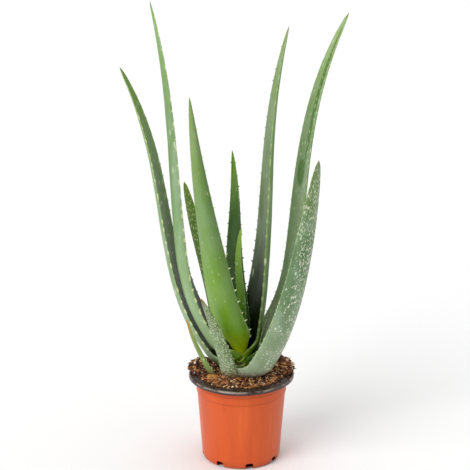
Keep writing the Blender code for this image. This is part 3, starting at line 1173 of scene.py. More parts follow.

# The darkest face colours at the foot are painted shade, down in the channel and the crown.
LEAVES = (
    Leaf("heart", "leaf_young", 60, 0.0036, 0.146, (0, -1, -4, -9, 20), 0.0120, 0.0038, 62, 0.030,
         40, 1.0, LeafFinish(
             back=(srgb(74, 112, 12), srgb(98, 146, 26), srgb(136, 176, 70), srgb(156, 188, 88)),
             face=(srgb(62, 96, 10), srgb(88, 132, 20), srgb(118, 162, 52), srgb(140, 176, 70)),
             flecks=Flecks(back=0.14, face=0.16, size=0.30, density=300.0), bloom=0.05), 0.0011),
    Leaf("back_inner", "leaf_green", 107, 0.0056, 0.231, (4, 13, 15, -5, 18), 0.0310, 0.0055, 80,
         0.035, 36, 0.3, LeafFinish(
             back=(srgb(96, 122, 48), srgb(96, 130, 66), srgb(96, 132, 70), srgb(112, 148, 62)),
             face=(srgb(28, 52, 8), srgb(40, 72, 16), srgb(60, 98, 32), srgb(104, 144, 30)),
             flecks=Flecks(back=0.08, face=0.08, foot=0.5, tip=1.4, sided=0.8, density=200.0),
             bloom=0.08, margin=srgb(130, 158, 84)), 0.0021, True),
    Leaf("front_broad", "leaf_young", 241, 0.0076, 0.338, (7, 31, 19, 16, 9), 0.0485, 0.0115, 100,
         0.045, 32, 0.2, LeafFinish(
             # The back's bright lime foot is painted light shining through the leaf.
             back=(srgb(214, 236, 14), srgb(122, 168, 24), srgb(114, 150, 72), srgb(138, 164, 92)),
             face=(srgb(100, 140, 20), srgb(76, 116, 34), srgb(84, 122, 56), srgb(106, 142, 64)),
             flecks=Flecks(density=170.0, stretch=5.0, size=0.24, back=0.09, face=0.06, foot=0.7,
                           tip=1.6, sided=0.3), bloom=0.14, soil=0.3, edge_glow=0.05,
             # The flank setting paints shade over the leaf's right flank.
             edge_dashes=0.25, flank_shade=0.55), 0.0026),
    Leaf("right_inner", "leaf_green", 40, 0.0100, 0.378, (5, 14, 6, 4, 20), 0.0390, 0.0117, 125,
         0.026, 38, 0.5, LeafFinish(
             back=(srgb(140, 176, 20), srgb(78, 112, 40), srgb(112, 140, 84), srgb(128, 158, 90)),
             # The face's near-black foot is painted shade deep in the channel.
             face=(srgb(10, 22, 2), srgb(16, 32, 4), srgb(96, 124, 66), srgb(138, 166, 94)),
             flecks=Flecks(density=150.0, stretch=5.0, size=0.22, back=0.08, face=0.04, foot=0.3,
                           tip=2.2, sided=0.7), bloom=0.22, margin=srgb(178, 204, 132), soil=0.3,
             edge_glow=0.35, edge_dashes=0.50), 0.0019, True, twist=-20.0),
    Leaf("left_tallest", "leaf_grey", 171, 0.0122, 0.425, (35, 33, 8, 4, 13), 0.0355, 0.0115, 120,
         0.030, 41, 1.0, LeafFinish(
             # The back's lime foot is brightened: painted light on the sheath.
             back=(srgb(130, 172, 40), srgb(146, 176, 124), srgb(118, 152, 96),
                   srgb(122, 166, 74)),
             face=(srgb(40, 64, 16), srgb(44, 72, 24), srgb(88, 128, 52), srgb(102, 146, 44)),
             flecks=Flecks(density=150.0, stretch=3.6, size=0.24, back=0.10, face=0.14, foot=0.3,
                           tip=2.4, sided=-0.5), bloom=0.36, mark=GREY_MARK, margin=CREAM,
             edge_glow=0.10, edge_dashes=0.8, face_bloom=0.35), 0.0022, twist=17.0),
    Leaf("right_tallest", "leaf_green", 35, 0.0144, 0.420, (12, 40, 9, 10, 34), 0.0280, 0.0088,
         122, 0.028, 41, 1.0, LeafFinish(
             back=(srgb(70, 110, 20), srgb(92, 128, 62), srgb(104, 138, 66), srgb(114, 146, 58)),
             # The face's dark olive foot is painted shade near the crown.
             face=(srgb(40, 74, 8), srgb(134, 158, 116), srgb(130, 158, 106),
                   srgb(134, 164, 74)),
             flecks=Flecks(density=190.0, stretch=2.4, size=0.30, back=0.12, face=0.20, foot=0.3,
                           tip=2.2, sided=0.8), bloom=0.34, mark=GREY_MARK,
             rubs=((0.1985, 0.232, 0.0078, 0.0175), (0.2055, 0.325, 0.0054, 0.085)),
             edge_glow=0.15), 0.0016),
    Leaf("left_outer", "leaf_grey", 162, 0.0166, 0.371, (40, 38, 16, 10, 28), 0.0320, 0.0100, 110,
         0.030, 36, 1.0, LeafFinish(
             back=(srgb(110, 134, 76), srgb(138, 166, 122), srgb(134, 164, 112),
                   srgb(144, 176, 96)),
             face=(srgb(34, 56, 14), srgb(44, 72, 24), srgb(94, 130, 52), srgb(112, 154, 44)),
             flecks=Flecks(density=170.0, stretch=3.2, size=0.27, back=0.10, face=0.20, foot=0.4,
                           tip=2.0), bloom=0.34, mark=GREY_MARK, margin=CREAM, edge_glow=0.10,
             edge_dashes=0.7, face_bloom=0.35), 0.0021),
    Leaf("left_spotted", "leaf_green", 142, 0.0188, 0.227, (15, 14, 13, 20, 15), 0.0300, 0.0071,
         80, 0.028, 36, 1.0, LeafFinish(
             back=(srgb(96, 124, 50), srgb(82, 118, 40), srgb(82, 124, 34), srgb(110, 144, 40)),
             face=(srgb(84, 116, 34), srgb(84, 124, 32), srgb(90, 132, 30), srgb(114, 148, 38)),
             flecks=Flecks(density=165.0, stretch=0.95, size=0.36, back=0.95, face=0.98,
                           strength=0.95),
             bloom=0.05, mark=srgb(208, 220, 150)), 0.0016),
    Leaf("right_spotted", "leaf_grey", 308, 0.0190, 0.309, (32, 38, 26, 15, 10), 0.0390, 0.0118,
         100, 0.035, 37, 0.8, LeafFinish(
             back=(srgb(150, 160, 138), srgb(134, 154, 120), srgb(88, 122, 76),
                   srgb(88, 120, 42)),
             face=(srgb(86, 108, 62), srgb(84, 110, 62), srgb(90, 120, 66), srgb(104, 134, 58)),
             flecks=Flecks(density=330.0, stretch=2.0, size=0.46, back=0.58, face=0.30, foot=0.75,
                           tip=1.7, sided=-0.8, strength=0.85), bloom=0.28,
             mark=srgb(222, 230, 200), edge_glow=0.25), 0.0012),
    Leaf("right_hidden", "leaf_green", 345, 0.0212, 0.110, (15, 6, 1, 12, 30), 0.0220, 0.0060, 70,
         0.020, 36, 0.7, LeafFinish(
             back=(srgb(80, 88, 44), srgb(66, 84, 38), srgb(60, 82, 34), srgb(88, 94, 42)),
             face=(srgb(40, 54, 18), srgb(38, 54, 18), srgb(46, 66, 24), srgb(80, 86, 36)),
             flecks=Flecks(back=0.22, face=0.18), bloom=0.08, tip=srgb(112, 82, 46),
             tip_share=0.05), 0.0014, True),
    Leaf("front_short", "leaf_grey", 239, 0.0212, 0.145, (14, 15, 25, 28, 36), 0.0245, 0.0077, 60,
         0.025, 30, 0.55, LeafFinish(
             back=(srgb(140, 146, 112), srgb(124, 144, 104), srgb(96, 122, 66),
                   srgb(92, 116, 46)),
             face=(srgb(98, 114, 68), srgb(92, 112, 62), srgb(88, 112, 54), srgb(92, 114, 48)),
             flecks=Flecks(density=400.0, stretch=1.4, size=0.56, back=1.1, face=0.7, foot=1.0,
                           tip=0.75, strength=0.72), bloom=0.24, mark=srgb(204, 218, 180),
             tip=srgb(138, 108, 56), tip_share=0.05, soil=1.0, edge_glow=0.1), 0.0013),
    Leaf("left_old", "leaf_old", 202, 0.0212, 0.100, (36, 39, 29, 24, 16), 0.0170, 0.0060, 60,
         0.018, 36, 0.8, LeafFinish(
             back=(srgb(130, 146, 84), srgb(126, 150, 80), srgb(116, 142, 62), srgb(150, 152, 52)),
             face=(srgb(96, 114, 48), srgb(92, 116, 46), srgb(100, 124, 48), srgb(148, 142, 46)),
             flecks=Flecks(back=0.10, face=0.10), bloom=0.12, tip=srgb(176, 130, 48),
             tip_share=0.12, edge_glow=0.1), 0.0013),
)


class Rosette:
    """The twelve leaves and their teeth."""

    TOOTH_SPACING = 0.0145
    TOOTH_SCALE = 1.35
    GAP = 0.0003

    def __init__(self, crown: Crown) -> None:
        """Args: crown: the stem that they grow from."""
        self.crown = crown
        self.blades: list[Object] = []

    def build(self) -> None:
        """Make every leaf, youngest first, each cut clear of the ones inside it."""
        tree = ToothTree()
        pale = self._tooth_material("leaf_tooth", srgb(196, 208, 140), srgb(232, 234, 190))
        # Darker teeth: painted shade, for the leaves that stand in shade.
        shaded_tooth_paint = self._tooth_material("leaf_tooth_dusky", srgb(52, 70, 24), srgb(98, 118, 58))
        for number, leaf in enumerate(LEAVES):
            blade = new_piece(f"leaf_{leaf.name}_blade", leaf.blade(self.crown),
                              leaf.finish.material(f"leaf_{leaf.name}", float(number)))
            self._clear(blade)
            self.blades.append(blade)
            settle(blade, leaf.slot, f"leaf_{leaf.name}")
            teeth = new_piece(f"leaf_{leaf.name}_teeth", leaf.margins(self.crown))
            tree.run(teeth, {"Spacing": self.TOOTH_SPACING * (0.45 + leaf.teeth / 0.0044),
                             "Tooth Length": leaf.teeth * self.TOOTH_SCALE, "Seed": number,
                             "Material": shaded_tooth_paint if leaf.shade_painted_teeth else pale})
            teeth.data.shade_smooth()
            settle(teeth, leaf.slot)

    def _clear(self, blade: Object) -> None:
        """Cut a leaf clear of the earlier leaves that it runs into.

        Args:
            blade: the leaf.
        """
        tree = search_tree(blade)
        for other in self.blades:
            if not tree.overlap(search_tree(other)):
                continue
            cutter = new_piece("clearance", other.data.copy())
            for vertex in cutter.data.vertices:
                vertex.co += vertex.normal * self.GAP
            cut(blade, cutter)
            LOG.info("%s cut clear of %s", blade.name, other.name)

    @staticmethod
    def _tooth_material(name: str, low: Colour, high: Colour) -> Material:
        """Horny teeth, mottled between two tones.

        Args:
            name: the material's name.
            low: the darker tone.
            high: the paler tone.

        Returns:
            The material.
        """
        paint = Paint(name)
        tone = paint.noise(paint.place(), 700.0)
        colour = paint.ramp(tone, ((0.35, low), (0.65, high)))
        return paint.dressed(colour, paint.scaled_plus(tone, 0.2, 0.35))


@dataclass(frozen=True)
class SheathCollar:
    """The low rim of a sheathing foot, round the front of the crown.

    Azimuths are in degrees, and rises are the rim's heights above the crown at the start,
    the middle and the end of the arc.
    """
    name: str
    slot: str
    start: float
    stop: float
    nest: float
    rises: tuple[float, ...]
    low: Colour
    high: Colour
    rim: Colour
    thickness: float = 0.0013
    sink: float = 0.0050

    def build(self, crown: Crown) -> None:
        """Make the collar as a thin curved wall with a rounded rim.

        Args:
            crown: the stem that it stands on.
        """
        count, rows = 60, 9
        foot = crown.foot_height(self.nest)
        rings, shares = [], []
        for k in range(count + 1):
            share = k / count
            turn = math.radians(self.start + (self.stop - self.start) * share)
            rise = blended(self.rises, share) + self.sink
            half = self.thickness / 2 * min(1.0, 8 * share + 0.2, 8 * (1 - share) + 0.2)
            ring = []
            profile = [(-half, v / rows * 0.94) for v in range(rows)]
            profile += [(-half * 0.7, 0.97), (0.0, 1.0), (half * 0.7, 0.97)]
            profile += [(half, v / rows * 0.94) for v in reversed(range(rows))]
            for side, up in profile:
                height = foot - self.sink + rise * up
                flare = 0.10 * max(height - foot, 0.0)
                wave = 0.0004 * noise.noise(Vector((turn * 4.0, height * 160.0, self.nest * 900)))
                reach = self.nest + side + flare + wave
                ring.append(Vector(polar(reach, turn, height)))
                shares.append(up)
            rings.append(ring)
        mesh = loft_mesh(self.name, rings)
        point_values(mesh, "rim", "FLOAT", shares)
        piece = new_piece(self.name, mesh, self._material())
        settle(piece, self.slot)

    def _material(self) -> Material:
        """Moist young flesh, palest along the rim.

        Returns:
            The material.
        """
        paint = Paint(self.name)
        up = paint.attribute("rim").outputs["Fac"]
        place = paint.place()
        streaks = paint.noise(paint.scaled(place, (1.0, 1.0, 0.2)), 500.0, 3.0)
        colour = paint.ramp(up, ((0.30, self.low), (0.72, self.high), (0.97, self.rim)))
        colour = paint.mix(paint.ease(streaks, 0.4, 0.7, 0.0, 0.35), colour,
                           (0.55, 0.62, 0.35), "MULTIPLY")
        return paint.dressed(colour, paint.scaled_plus(streaks, 0.2, 0.3), streaks, 0.0002)


COLLARS = (
    SheathCollar("sheath_rim_inner", "leaf_green", 196, 292, 0.0104, (0.006, 0.0015, 0.0005, 0.006),
                 srgb(76, 122, 4), srgb(140, 190, 14), srgb(216, 244, 90)),
    SheathCollar("sheath_rim_outer", "leaf_green", 204, 286, 0.0146, (0.013, 0.0085, 0.0070, 0.010),
                 srgb(26, 58, 2), srgb(46, 100, 6), srgb(186, 218, 104)),
)


# ---- Pot ----

@dataclass(frozen=True)
class NurseryPot:
    """The thin-walled plastic pot. Radii are those of the outside of the wall."""
    wall: float = 0.0010
    neck_radius: float = 0.0525
    band_radius: float = 0.0510
    foot_radius: float = 0.0445
    band_height: float = 0.0120
    band_step: float = 0.0006
    step_height: float = 0.0810
    lip_drop: float = 0.0040
    lip_sag: float = 0.0010
    foot_round: float = 0.0050
    floor_rise: float = 0.0030
    pad_width: float = 0.0105
    centre_pad: float = 0.0090
    notches: int = 8
    notch_width: float = 0.0090
    notch_top: float = 0.0072
    notch_turn: float = 12.0
    notch_round: float = 0.0022
    notch_reach: float = 0.0070
    holes: int = 6
    hole_radius: float = 0.0040
    edge_soft: float = 0.0008
    warp: float = 0.00035
    sides: int = 168

    PLASTIC_RELIEF = 0.00006
    PLASTIC_GLOSS = 0.30

    @property
    def ring_radius(self) -> float:
        """Inside radius of the ring of pads under the foot."""
        return self.foot_radius - self.foot_round - self.pad_width

    def inner_radius(self, height: float) -> float:
        """Inside radius of the wall at a height.

        Args:
            height: the height.

        Returns:
            The radius.
        """
        base = LIP_HEIGHT - self.band_height
        if height >= base:
            share = (height - base) / self.band_height
            return self.band_radius + (self.neck_radius - self.band_radius) * share - self.wall
        share = (height - self.foot_round) / (base - self.foot_round)
        return self.foot_radius + (self.band_radius - self.foot_radius) * share - self.wall

    @staticmethod
    def _arc(x: float, z: float, radius: float, start: float, stop: float,
             steps: int) -> list[tuple[float, float]]:
        """Points of an arc about (x, z), from one angle to another, in degrees.

        Args:
            x: the centre's distance from the axis.
            z: its height.
            radius: the arc's radius.
            start: the first angle.
            stop: the last.
            steps: how many steps it has.

        Returns:
            The points.
        """
        turns = [math.radians(start + (stop - start) * k / steps) for k in range(steps + 1)]
        return [(x + radius * math.cos(turn), z + radius * math.sin(turn)) for turn in turns]

    def outline(self) -> tuple[list[tuple[float, float]], list[tuple[float, float]]]:
        """The sheet's outside and inside, each as (radius, height) points.

        Returns:
            The outside from the floor's middle up to the lip's edge, and the rest, over the
            lip and down the inside.
        """
        wall, top, lip = self.wall, LIP_HEIGHT, LIP_RADIUS
        base = top - self.band_height
        ring, soft = self.ring_radius, self.edge_soft
        outside = [(0.0, 0.0), (self.centre_pad - soft, 0.0), (self.centre_pad, soft * 0.3),
                   (self.centre_pad + wall, self.floor_rise), (ring - wall, self.floor_rise),
                   (ring, soft * 0.3), (ring + soft, 0.0)]
        corner = (self.foot_radius - self.foot_round, self.foot_round)
        outside += self._arc(*corner, self.foot_round, -90, 0, 9)
        for share in (0.2, 0.4, 0.6, 0.8, 1.0):
            height = corner[1] + (self.step_height - corner[1]) * share
            outside.append((self.inner_radius(height) + wall, height))
        raised = self.inner_radius(self.step_height) + wall + self.band_step
        outside += [(raised + 0.0001, self.step_height + 0.0002),
                    (raised + 0.0003, self.step_height + 0.0006),
                    (raised + 0.0001, self.step_height + 0.0016)]
        outside += [(self.band_radius + self.band_step, base),
                    (self.band_radius + self.band_step + 0.0003, base + 0.0003),
                    (self.band_radius + self.band_step + 0.0001, base + 0.0009)]
        second = top - 0.0052
        outside += [(self.inner_radius(second) + wall, second),
                    (self.inner_radius(second) + wall + 0.0005, second + 0.0002),
                    (self.inner_radius(second) + wall + 0.0005, second + 0.0006)]
        under = top - self.lip_sag - wall
        outside += [(self.neck_radius, under - 0.0012), (self.neck_radius + 0.0012, under),
                    (lip - 2.4 * wall, under - 0.0006)]
        outside += self._arc(lip - 2.4 * wall, under - 0.0018, 0.0012, 80, 0, 4)
        outside += [(lip - 1.2 * wall, top - self.lip_sag - self.lip_drop + 0.0003)]
        low = top - self.lip_sag - self.lip_drop
        inside = self._arc(lip - 0.55 * wall, low + 0.0005, 0.0005, 200, 360, 6)
        inside += self._arc(lip - 0.0022, top - self.lip_sag - 0.0022, 0.0022, 4, 80, 8)
        inside += [(self.neck_radius + 0.0016, top - 0.0001), (self.neck_radius, top)]
        inside += self._arc(self.neck_radius, top - wall, wall, 100, 180, 5)
        for share in (0.35, 0.7):
            height = top - self.band_height * share
            inside.append((self.inner_radius(height), height))
        inside += [(self.band_radius + self.band_step - wall, base + 0.0010),
                   (self.band_radius - wall, base)]
        inside += self._arc(*corner, self.foot_round - wall, 0, -90, 8)
        inside += [(ring, wall), (ring - wall, self.floor_rise + wall),
                   (self.centre_pad + wall, self.floor_rise + wall), (self.centre_pad, wall),
                   (0.0, wall)]
        return outside, inside

    def build(self) -> Object:
        """Make the pot, its outside and inside in their own plastics.

        Returns:
            The pot.
        """
        outside, inside = self.outline()
        rings = []
        for radius, height in outside + inside:
            around = self.sides if radius else 1
            ring = []
            for i in range(around):
                turn = math.tau * i / self.sides
                slack = self.warp * eased(height / LIP_HEIGHT) * math.sin(3 * turn + 0.6)
                reach = radius + (slack if radius > self.centre_pad else 0.0)
                ring.append(Vector(polar(reach, turn, height)))
            rings.append(ring)
        mesh = loft_mesh("pot_shell", rings)
        pot = new_piece("pot_shell", mesh, self._terracotta(), self._black())
        for polygon in mesh.polygons:
            polygon.material_index = int(polygon.index // self.sides >= len(outside) - 1)
        for k in range(self.notches):
            cut(pot, self._notch(k))
        for k in range(self.holes):
            cut(pot, self._hole(k))
        pot.data.set_sharp_from_angle(angle=SHARP_ANGLE)
        settle(pot, "terracotta_plastic", "nursery_pot")
        return pot

    def _notch(self, index: int) -> Object:
        """A cutter with a rounded top, for one notch through the foot.

        Args:
            index: which notch.

        Returns:
            The cutter.
        """
        half = self.notch_width / 2
        round_off = self.notch_round
        arch = [(-half, -0.01)]
        arch += self._arc(-half + round_off, self.notch_top - round_off, round_off, 180, 90, 5)
        arch += self._arc(half - round_off, self.notch_top - round_off, round_off, 90, 0, 5)
        arch.append((half, -0.01))
        turn = Matrix.Rotation(math.radians(self.notch_turn)
                               + math.tau * index / self.notches, 4, "Z")
        near, far = self.foot_radius - self.notch_reach, self.foot_radius + self.notch_reach
        rings = [[turn @ Vector((x, y, z)) for y, z in arch] for x in (near, far)]
        return new_piece("notch", loft_mesh("notch", rings, smooth=False))

    def _hole(self, index: int) -> Object:
        """A cutter for one round hole in the raised floor.

        Args:
            index: which hole.

        Returns:
            The cutter.
        """
        turn = math.tau * index / self.holes
        circle = (self.centre_pad + self.ring_radius) / 2
        builder = bmesh.new()
        bmesh.ops.create_cone(builder, cap_ends=True, segments=32, radius1=self.hole_radius,
                              radius2=self.hole_radius, depth=4 * self.floor_rise)
        bmesh.ops.translate(builder, verts=builder.verts, vec=polar(circle, turn, 0.0))
        return new_piece("hole", built_mesh("hole", builder, smooth=False))

    def _terracotta(self) -> Material:
        """Orange plastic, thinly shaped, with faint flow lines and scuffs, darker towards the foot,
        with painted shade in lines along the step and the band.

        Returns:
            The material.
        """
        paint = Paint("terracotta_plastic")
        place = paint.place()
        flow = paint.noise(paint.scaled(place, (1.0, 1.0, 0.08)), 70.0, 4.0)
        colour = paint.ramp(flow, ((0.30, srgb(202, 74, 14)), (0.55, srgb(211, 82, 17)),
                                   (0.75, srgb(218, 92, 26))))
        grain = paint.group(EFFECTS.grain, place=place, density=2600.0, contrast=1.4)
        colour = paint.mix(paint.times(grain, 0.10), colour, srgb(244, 170, 130))
        lines = paint.node("ShaderNodeTexWave", {
            "Vector": place, "Scale": 70.0, "Distortion": 0.6, "Detail": 2.0,
            "Detail Scale": 0.4}, wave_type="BANDS", bands_direction="Z")
        scuff = paint.noise(paint.scaled(place, (1.0, 1.0, 3.0)), 160.0, 6.0, 0.75)
        scuffed = paint.ease(scuff, 0.60, 0.76)
        colour = paint.mix(paint.times(scuffed, 0.20), colour, srgb(240, 178, 146))
        height = paint.parts(place)[2]
        # Darker towards the foot.
        foot = paint.ease(height, 0.012, 0.0, 0.0, 0.30)
        colour = paint.mix(foot, colour, srgb(150, 62, 30))
        # Painted shade: dark lines just under the step and along the band's lower edge.
        for level, depth in ((self.step_height, 0.55), (LIP_HEIGHT - self.band_height, 0.30)):
            away = paint.maths("ABSOLUTE", paint.minus(height, level - 0.0001))
            painted_step_shade = paint.ease(away, 0.0009, 0.0002, 0.0, depth)
            colour = paint.mix(painted_step_shade, colour, srgb(138, 46, 14))
        relief = paint.scaled_plus(lines.outputs["Fac"], 0.35, grain)
        return paint.dressed(colour, paint.scaled_plus(scuffed, 0.22, 0.36), relief,
                             self.PLASTIC_RELIEF, self.PLASTIC_GLOSS)

    def _black(self) -> Material:
        """Dark inner plastic, dusty with soil along the lip, and a painted highlight on its outer
        edge.

        Returns:
            The material.
        """
        paint = Paint("black_plastic")
        place = paint.place()
        dust = paint.noise(place, 240.0, 6.0, 0.7)
        dusty = paint.ease(dust, 0.48, 0.72)
        colour = paint.mix(paint.times(dusty, 0.35), srgb(46, 30, 26), srgb(122, 82, 60))
        x, y, height = paint.parts(place)
        reach = paint.maths("SQRT", paint.plus(paint.times(x, x), paint.times(y, y)))
        # Painted highlight: a pale line round the lip's outer edge, broken up by noise.
        outer = paint.ease(reach, LIP_RADIUS - 0.0021, LIP_RADIUS - 0.0011)
        upper = paint.ease(height, LIP_HEIGHT - 0.0035, LIP_HEIGHT - 0.0020)
        painted_rim_highlight = paint.ease(paint.noise(place, 60.0, 4.0), 0.36, 0.60)
        painted_rim_highlight = paint.times(painted_rim_highlight, paint.times(outer, upper))
        colour = paint.mix(paint.times(painted_rim_highlight, 0.60), colour, srgb(176, 160, 148))
        grain = paint.group(EFFECTS.grain, place=place, density=2200.0, contrast=1.2)
        return paint.dressed(colour, paint.scaled_plus(dusty, 0.40, 0.20), grain,
                             self.PLASTIC_RELIEF)


# ---- Potting mix ----

class Grain(Enum):
    """The kinds of particle in the mix."""
    PEAT = "peat_crumbs"
    BARK = "bark_flakes"
    PALE_BARK = "pale_bark_flakes"
    PERLITE = "perlite_grains"


@dataclass(frozen=True)
class GrainRun:
    """One scattering of particles: how many per square metre, and their size and finish."""
    kind: Grain
    density: float
    length: float
    width: float
    thickness: float
    spread: float
    lift: float
    slot: str
    stops: tuple[tuple[float, Colour], ...]
    roughness: float = 0.9


PEAT_STOPS = ((0.10, srgb(34, 16, 10)), (0.45, srgb(74, 40, 22)), (0.80, srgb(108, 64, 36)),
              (1.0, srgb(146, 94, 58)))
BARK_STOPS = ((0.05, srgb(64, 32, 16)), (0.40, srgb(116, 66, 34)), (0.75, srgb(164, 102, 54)),
              (1.0, srgb(208, 150, 90)))
PALE_STOPS = ((0.0, srgb(190, 140, 84)), (0.5, srgb(220, 178, 124)), (1.0, srgb(238, 208, 166)))
PERLITE_STOPS = ((0.0, srgb(216, 196, 160)), (0.5, srgb(236, 222, 196)), (1.0, srgb(246, 238, 224)))

GRAIN_RUNS = (
    GrainRun(Grain.PEAT, 330000.0, 0.0024, 0.0019, 0.0016, 0.55, 0.0003, "potting_mix",
             PEAT_STOPS, 0.95),
    GrainRun(Grain.BARK, 95000.0, 0.0052, 0.0024, 0.0014, 0.55, 0.0009, "bark", BARK_STOPS, 0.85),
    GrainRun(Grain.PALE_BARK, 24000.0, 0.0038, 0.0018, 0.0012, 0.5, 0.0012, "bark", PALE_STOPS,
             0.8),
    GrainRun(Grain.PERLITE, 9000.0, 0.0021, 0.0019, 0.0016, 0.4, 0.0011, "potting_mix",
             PERLITE_STOPS, 0.8),
)


class GrainTree(GeometryWiring):
    """Scatters broken particles over a surface, where its attribute called room allows."""

    def __init__(self) -> None:
        """Build the tree."""
        super().__init__("scattered_grains", {
            "Density": "Float", "Size": "Vector", "Spread": "Float",
            "Lift": "Float", "Seed": "Int", "Material": "Material"})
        given = self.given
        room = self.named("room", "FLOAT")
        points = self.node("GeometryNodeDistributePointsOnFaces", {
            "Mesh": given["Geometry"], "Density": self.times(given["Density"], room),
            "Seed": given["Seed"]})
        lifted = self.node("GeometryNodeSetPosition", {
            "Geometry": points.outputs["Points"],
            "Offset": self.vector_maths("SCALE", points.outputs["Normal"], given["Lift"])})
        spin = self.random((-0.6, -0.6, 0.0), (0.6, 0.6, 6.28), given["Seed"], "FLOAT_VECTOR")
        low = self.minus(1.0, given["Spread"])
        high = self.plus(1.0, given["Spread"])
        factor = self.random(low, high, self.plus(given["Seed"], 11.0))
        scale = self.vector_maths("SCALE", given["Size"], factor)
        picks = self.node("GeometryNodeInstanceOnPoints", {
            "Points": lifted.outputs[0], "Instance": self._shapes(), "Pick Instance": True,
            "Rotation": spin, "Scale": scale})
        tinted = self.node("GeometryNodeStoreNamedAttribute", {
            "Geometry": picks.outputs[0], "Name": "tint",
            "Value": self.random(0.0, 1.0, self.plus(given["Seed"], 5.0))},
            data_type="FLOAT", domain="INSTANCE")
        self.end(tinted.outputs[0], given["Material"])

    def _shapes(self) -> NodeSocket:
        """Four different broken lumps of unit size, to pick from.

        Returns:
            The lumps as instances.
        """
        shapes = self.node("GeometryNodeGeometryToInstance")
        for number in range(4):
            ball = self.node("GeometryNodeMeshIcoSphere", {"Radius": 0.5, "Subdivisions": 1})
            place = self.node("GeometryNodeInputPosition").outputs[0]
            lumps = self.node("ShaderNodeTexNoise", {
                "Vector": self.vector_maths("ADD", place, (7.3 * number, 1.1, 2.9 * number)),
                "Scale": 2.6, "Detail": 1.0})
            centred = self.vector_maths("SUBTRACT", lumps.outputs["Color"], (0.5, 0.5, 0.5))
            broken = self.node("GeometryNodeSetPosition", {
                "Geometry": ball.outputs[0],
                "Offset": self.vector_maths("SCALE", centred, 1.5)})
            self.tree.links.new(broken.outputs[0], shapes.inputs[0])
        return shapes.outputs[0]


class FibreTree(GeometryWiring):
    """Scatters thin bent fibres over a surface."""

    def __init__(self) -> None:
        """Build the tree."""
        super().__init__("scattered_fibres", {
            "Density": "Float", "Length": "Float",
            "Thickness": "Float", "Seed": "Int",
            "Material": "Material"})
        given = self.given
        points = self.node("GeometryNodeDistributePointsOnFaces", {
            "Mesh": given["Geometry"],
            "Density": self.times(given["Density"], self.named("room", "FLOAT")),
            "Seed": given["Seed"]})
        bend = self.node("GeometryNodeCurveQuadraticBezier", {
            "Resolution": 6, "Start": (-0.5, 0.0, -0.06), "Middle": (0.0, 0.32, 0.22),
            "End": (0.5, -0.08, 0.02)})
        ratio = self.maths("DIVIDE", given["Thickness"], given["Length"])
        round_section = self.node("GeometryNodeCurvePrimitiveCircle", {"Resolution": 4,
                                                                       "Radius": ratio})
        tube = self.node("GeometryNodeCurveToMesh", {
            "Curve": bend.outputs[0], "Profile Curve": round_section.outputs[0],
            "Fill Caps": True})
        spin = self.random((-0.6, -0.6, 0.0), (0.6, 0.3, 6.28), given["Seed"], "FLOAT_VECTOR")
        size = self.times(given["Length"], self.random(0.5, 1.5, given["Seed"]))
        strands = self.node("GeometryNodeInstanceOnPoints", {
            "Points": points.outputs["Points"], "Instance": tube.outputs[0],
            "Rotation": spin, "Scale": size})
        self.end(strands.outputs[0], given["Material"])


@dataclass(frozen=True)
class BarkChip:
    """One larger piece of bark: where it lies, its size and its colour."""
    azimuth: float
    out: float
    size: tuple[float, float, float]
    turn: float
    tilt: float
    tone: Colour


CHIPS = (
    BarkChip(218, 0.78, (0.0120, 0.0080, 0.0042), 15, 6, srgb(214, 148, 76)),
    BarkChip(231, 0.85, (0.0090, 0.0060, 0.0030), 75, -6, srgb(166, 104, 54)),
    BarkChip(286, 0.84, (0.0100, 0.0050, 0.0026), -15, 8, srgb(206, 156, 96)),
    BarkChip(322, 0.87, (0.0110, 0.0055, 0.0030), 50, -10, srgb(190, 132, 74)),
    BarkChip(8, 0.84, (0.0085, 0.0065, 0.0032), 110, 12, srgb(120, 70, 38)),
    BarkChip(80, 0.78, (0.0120, 0.0070, 0.0034), 35, -7, srgb(146, 90, 48)),
)


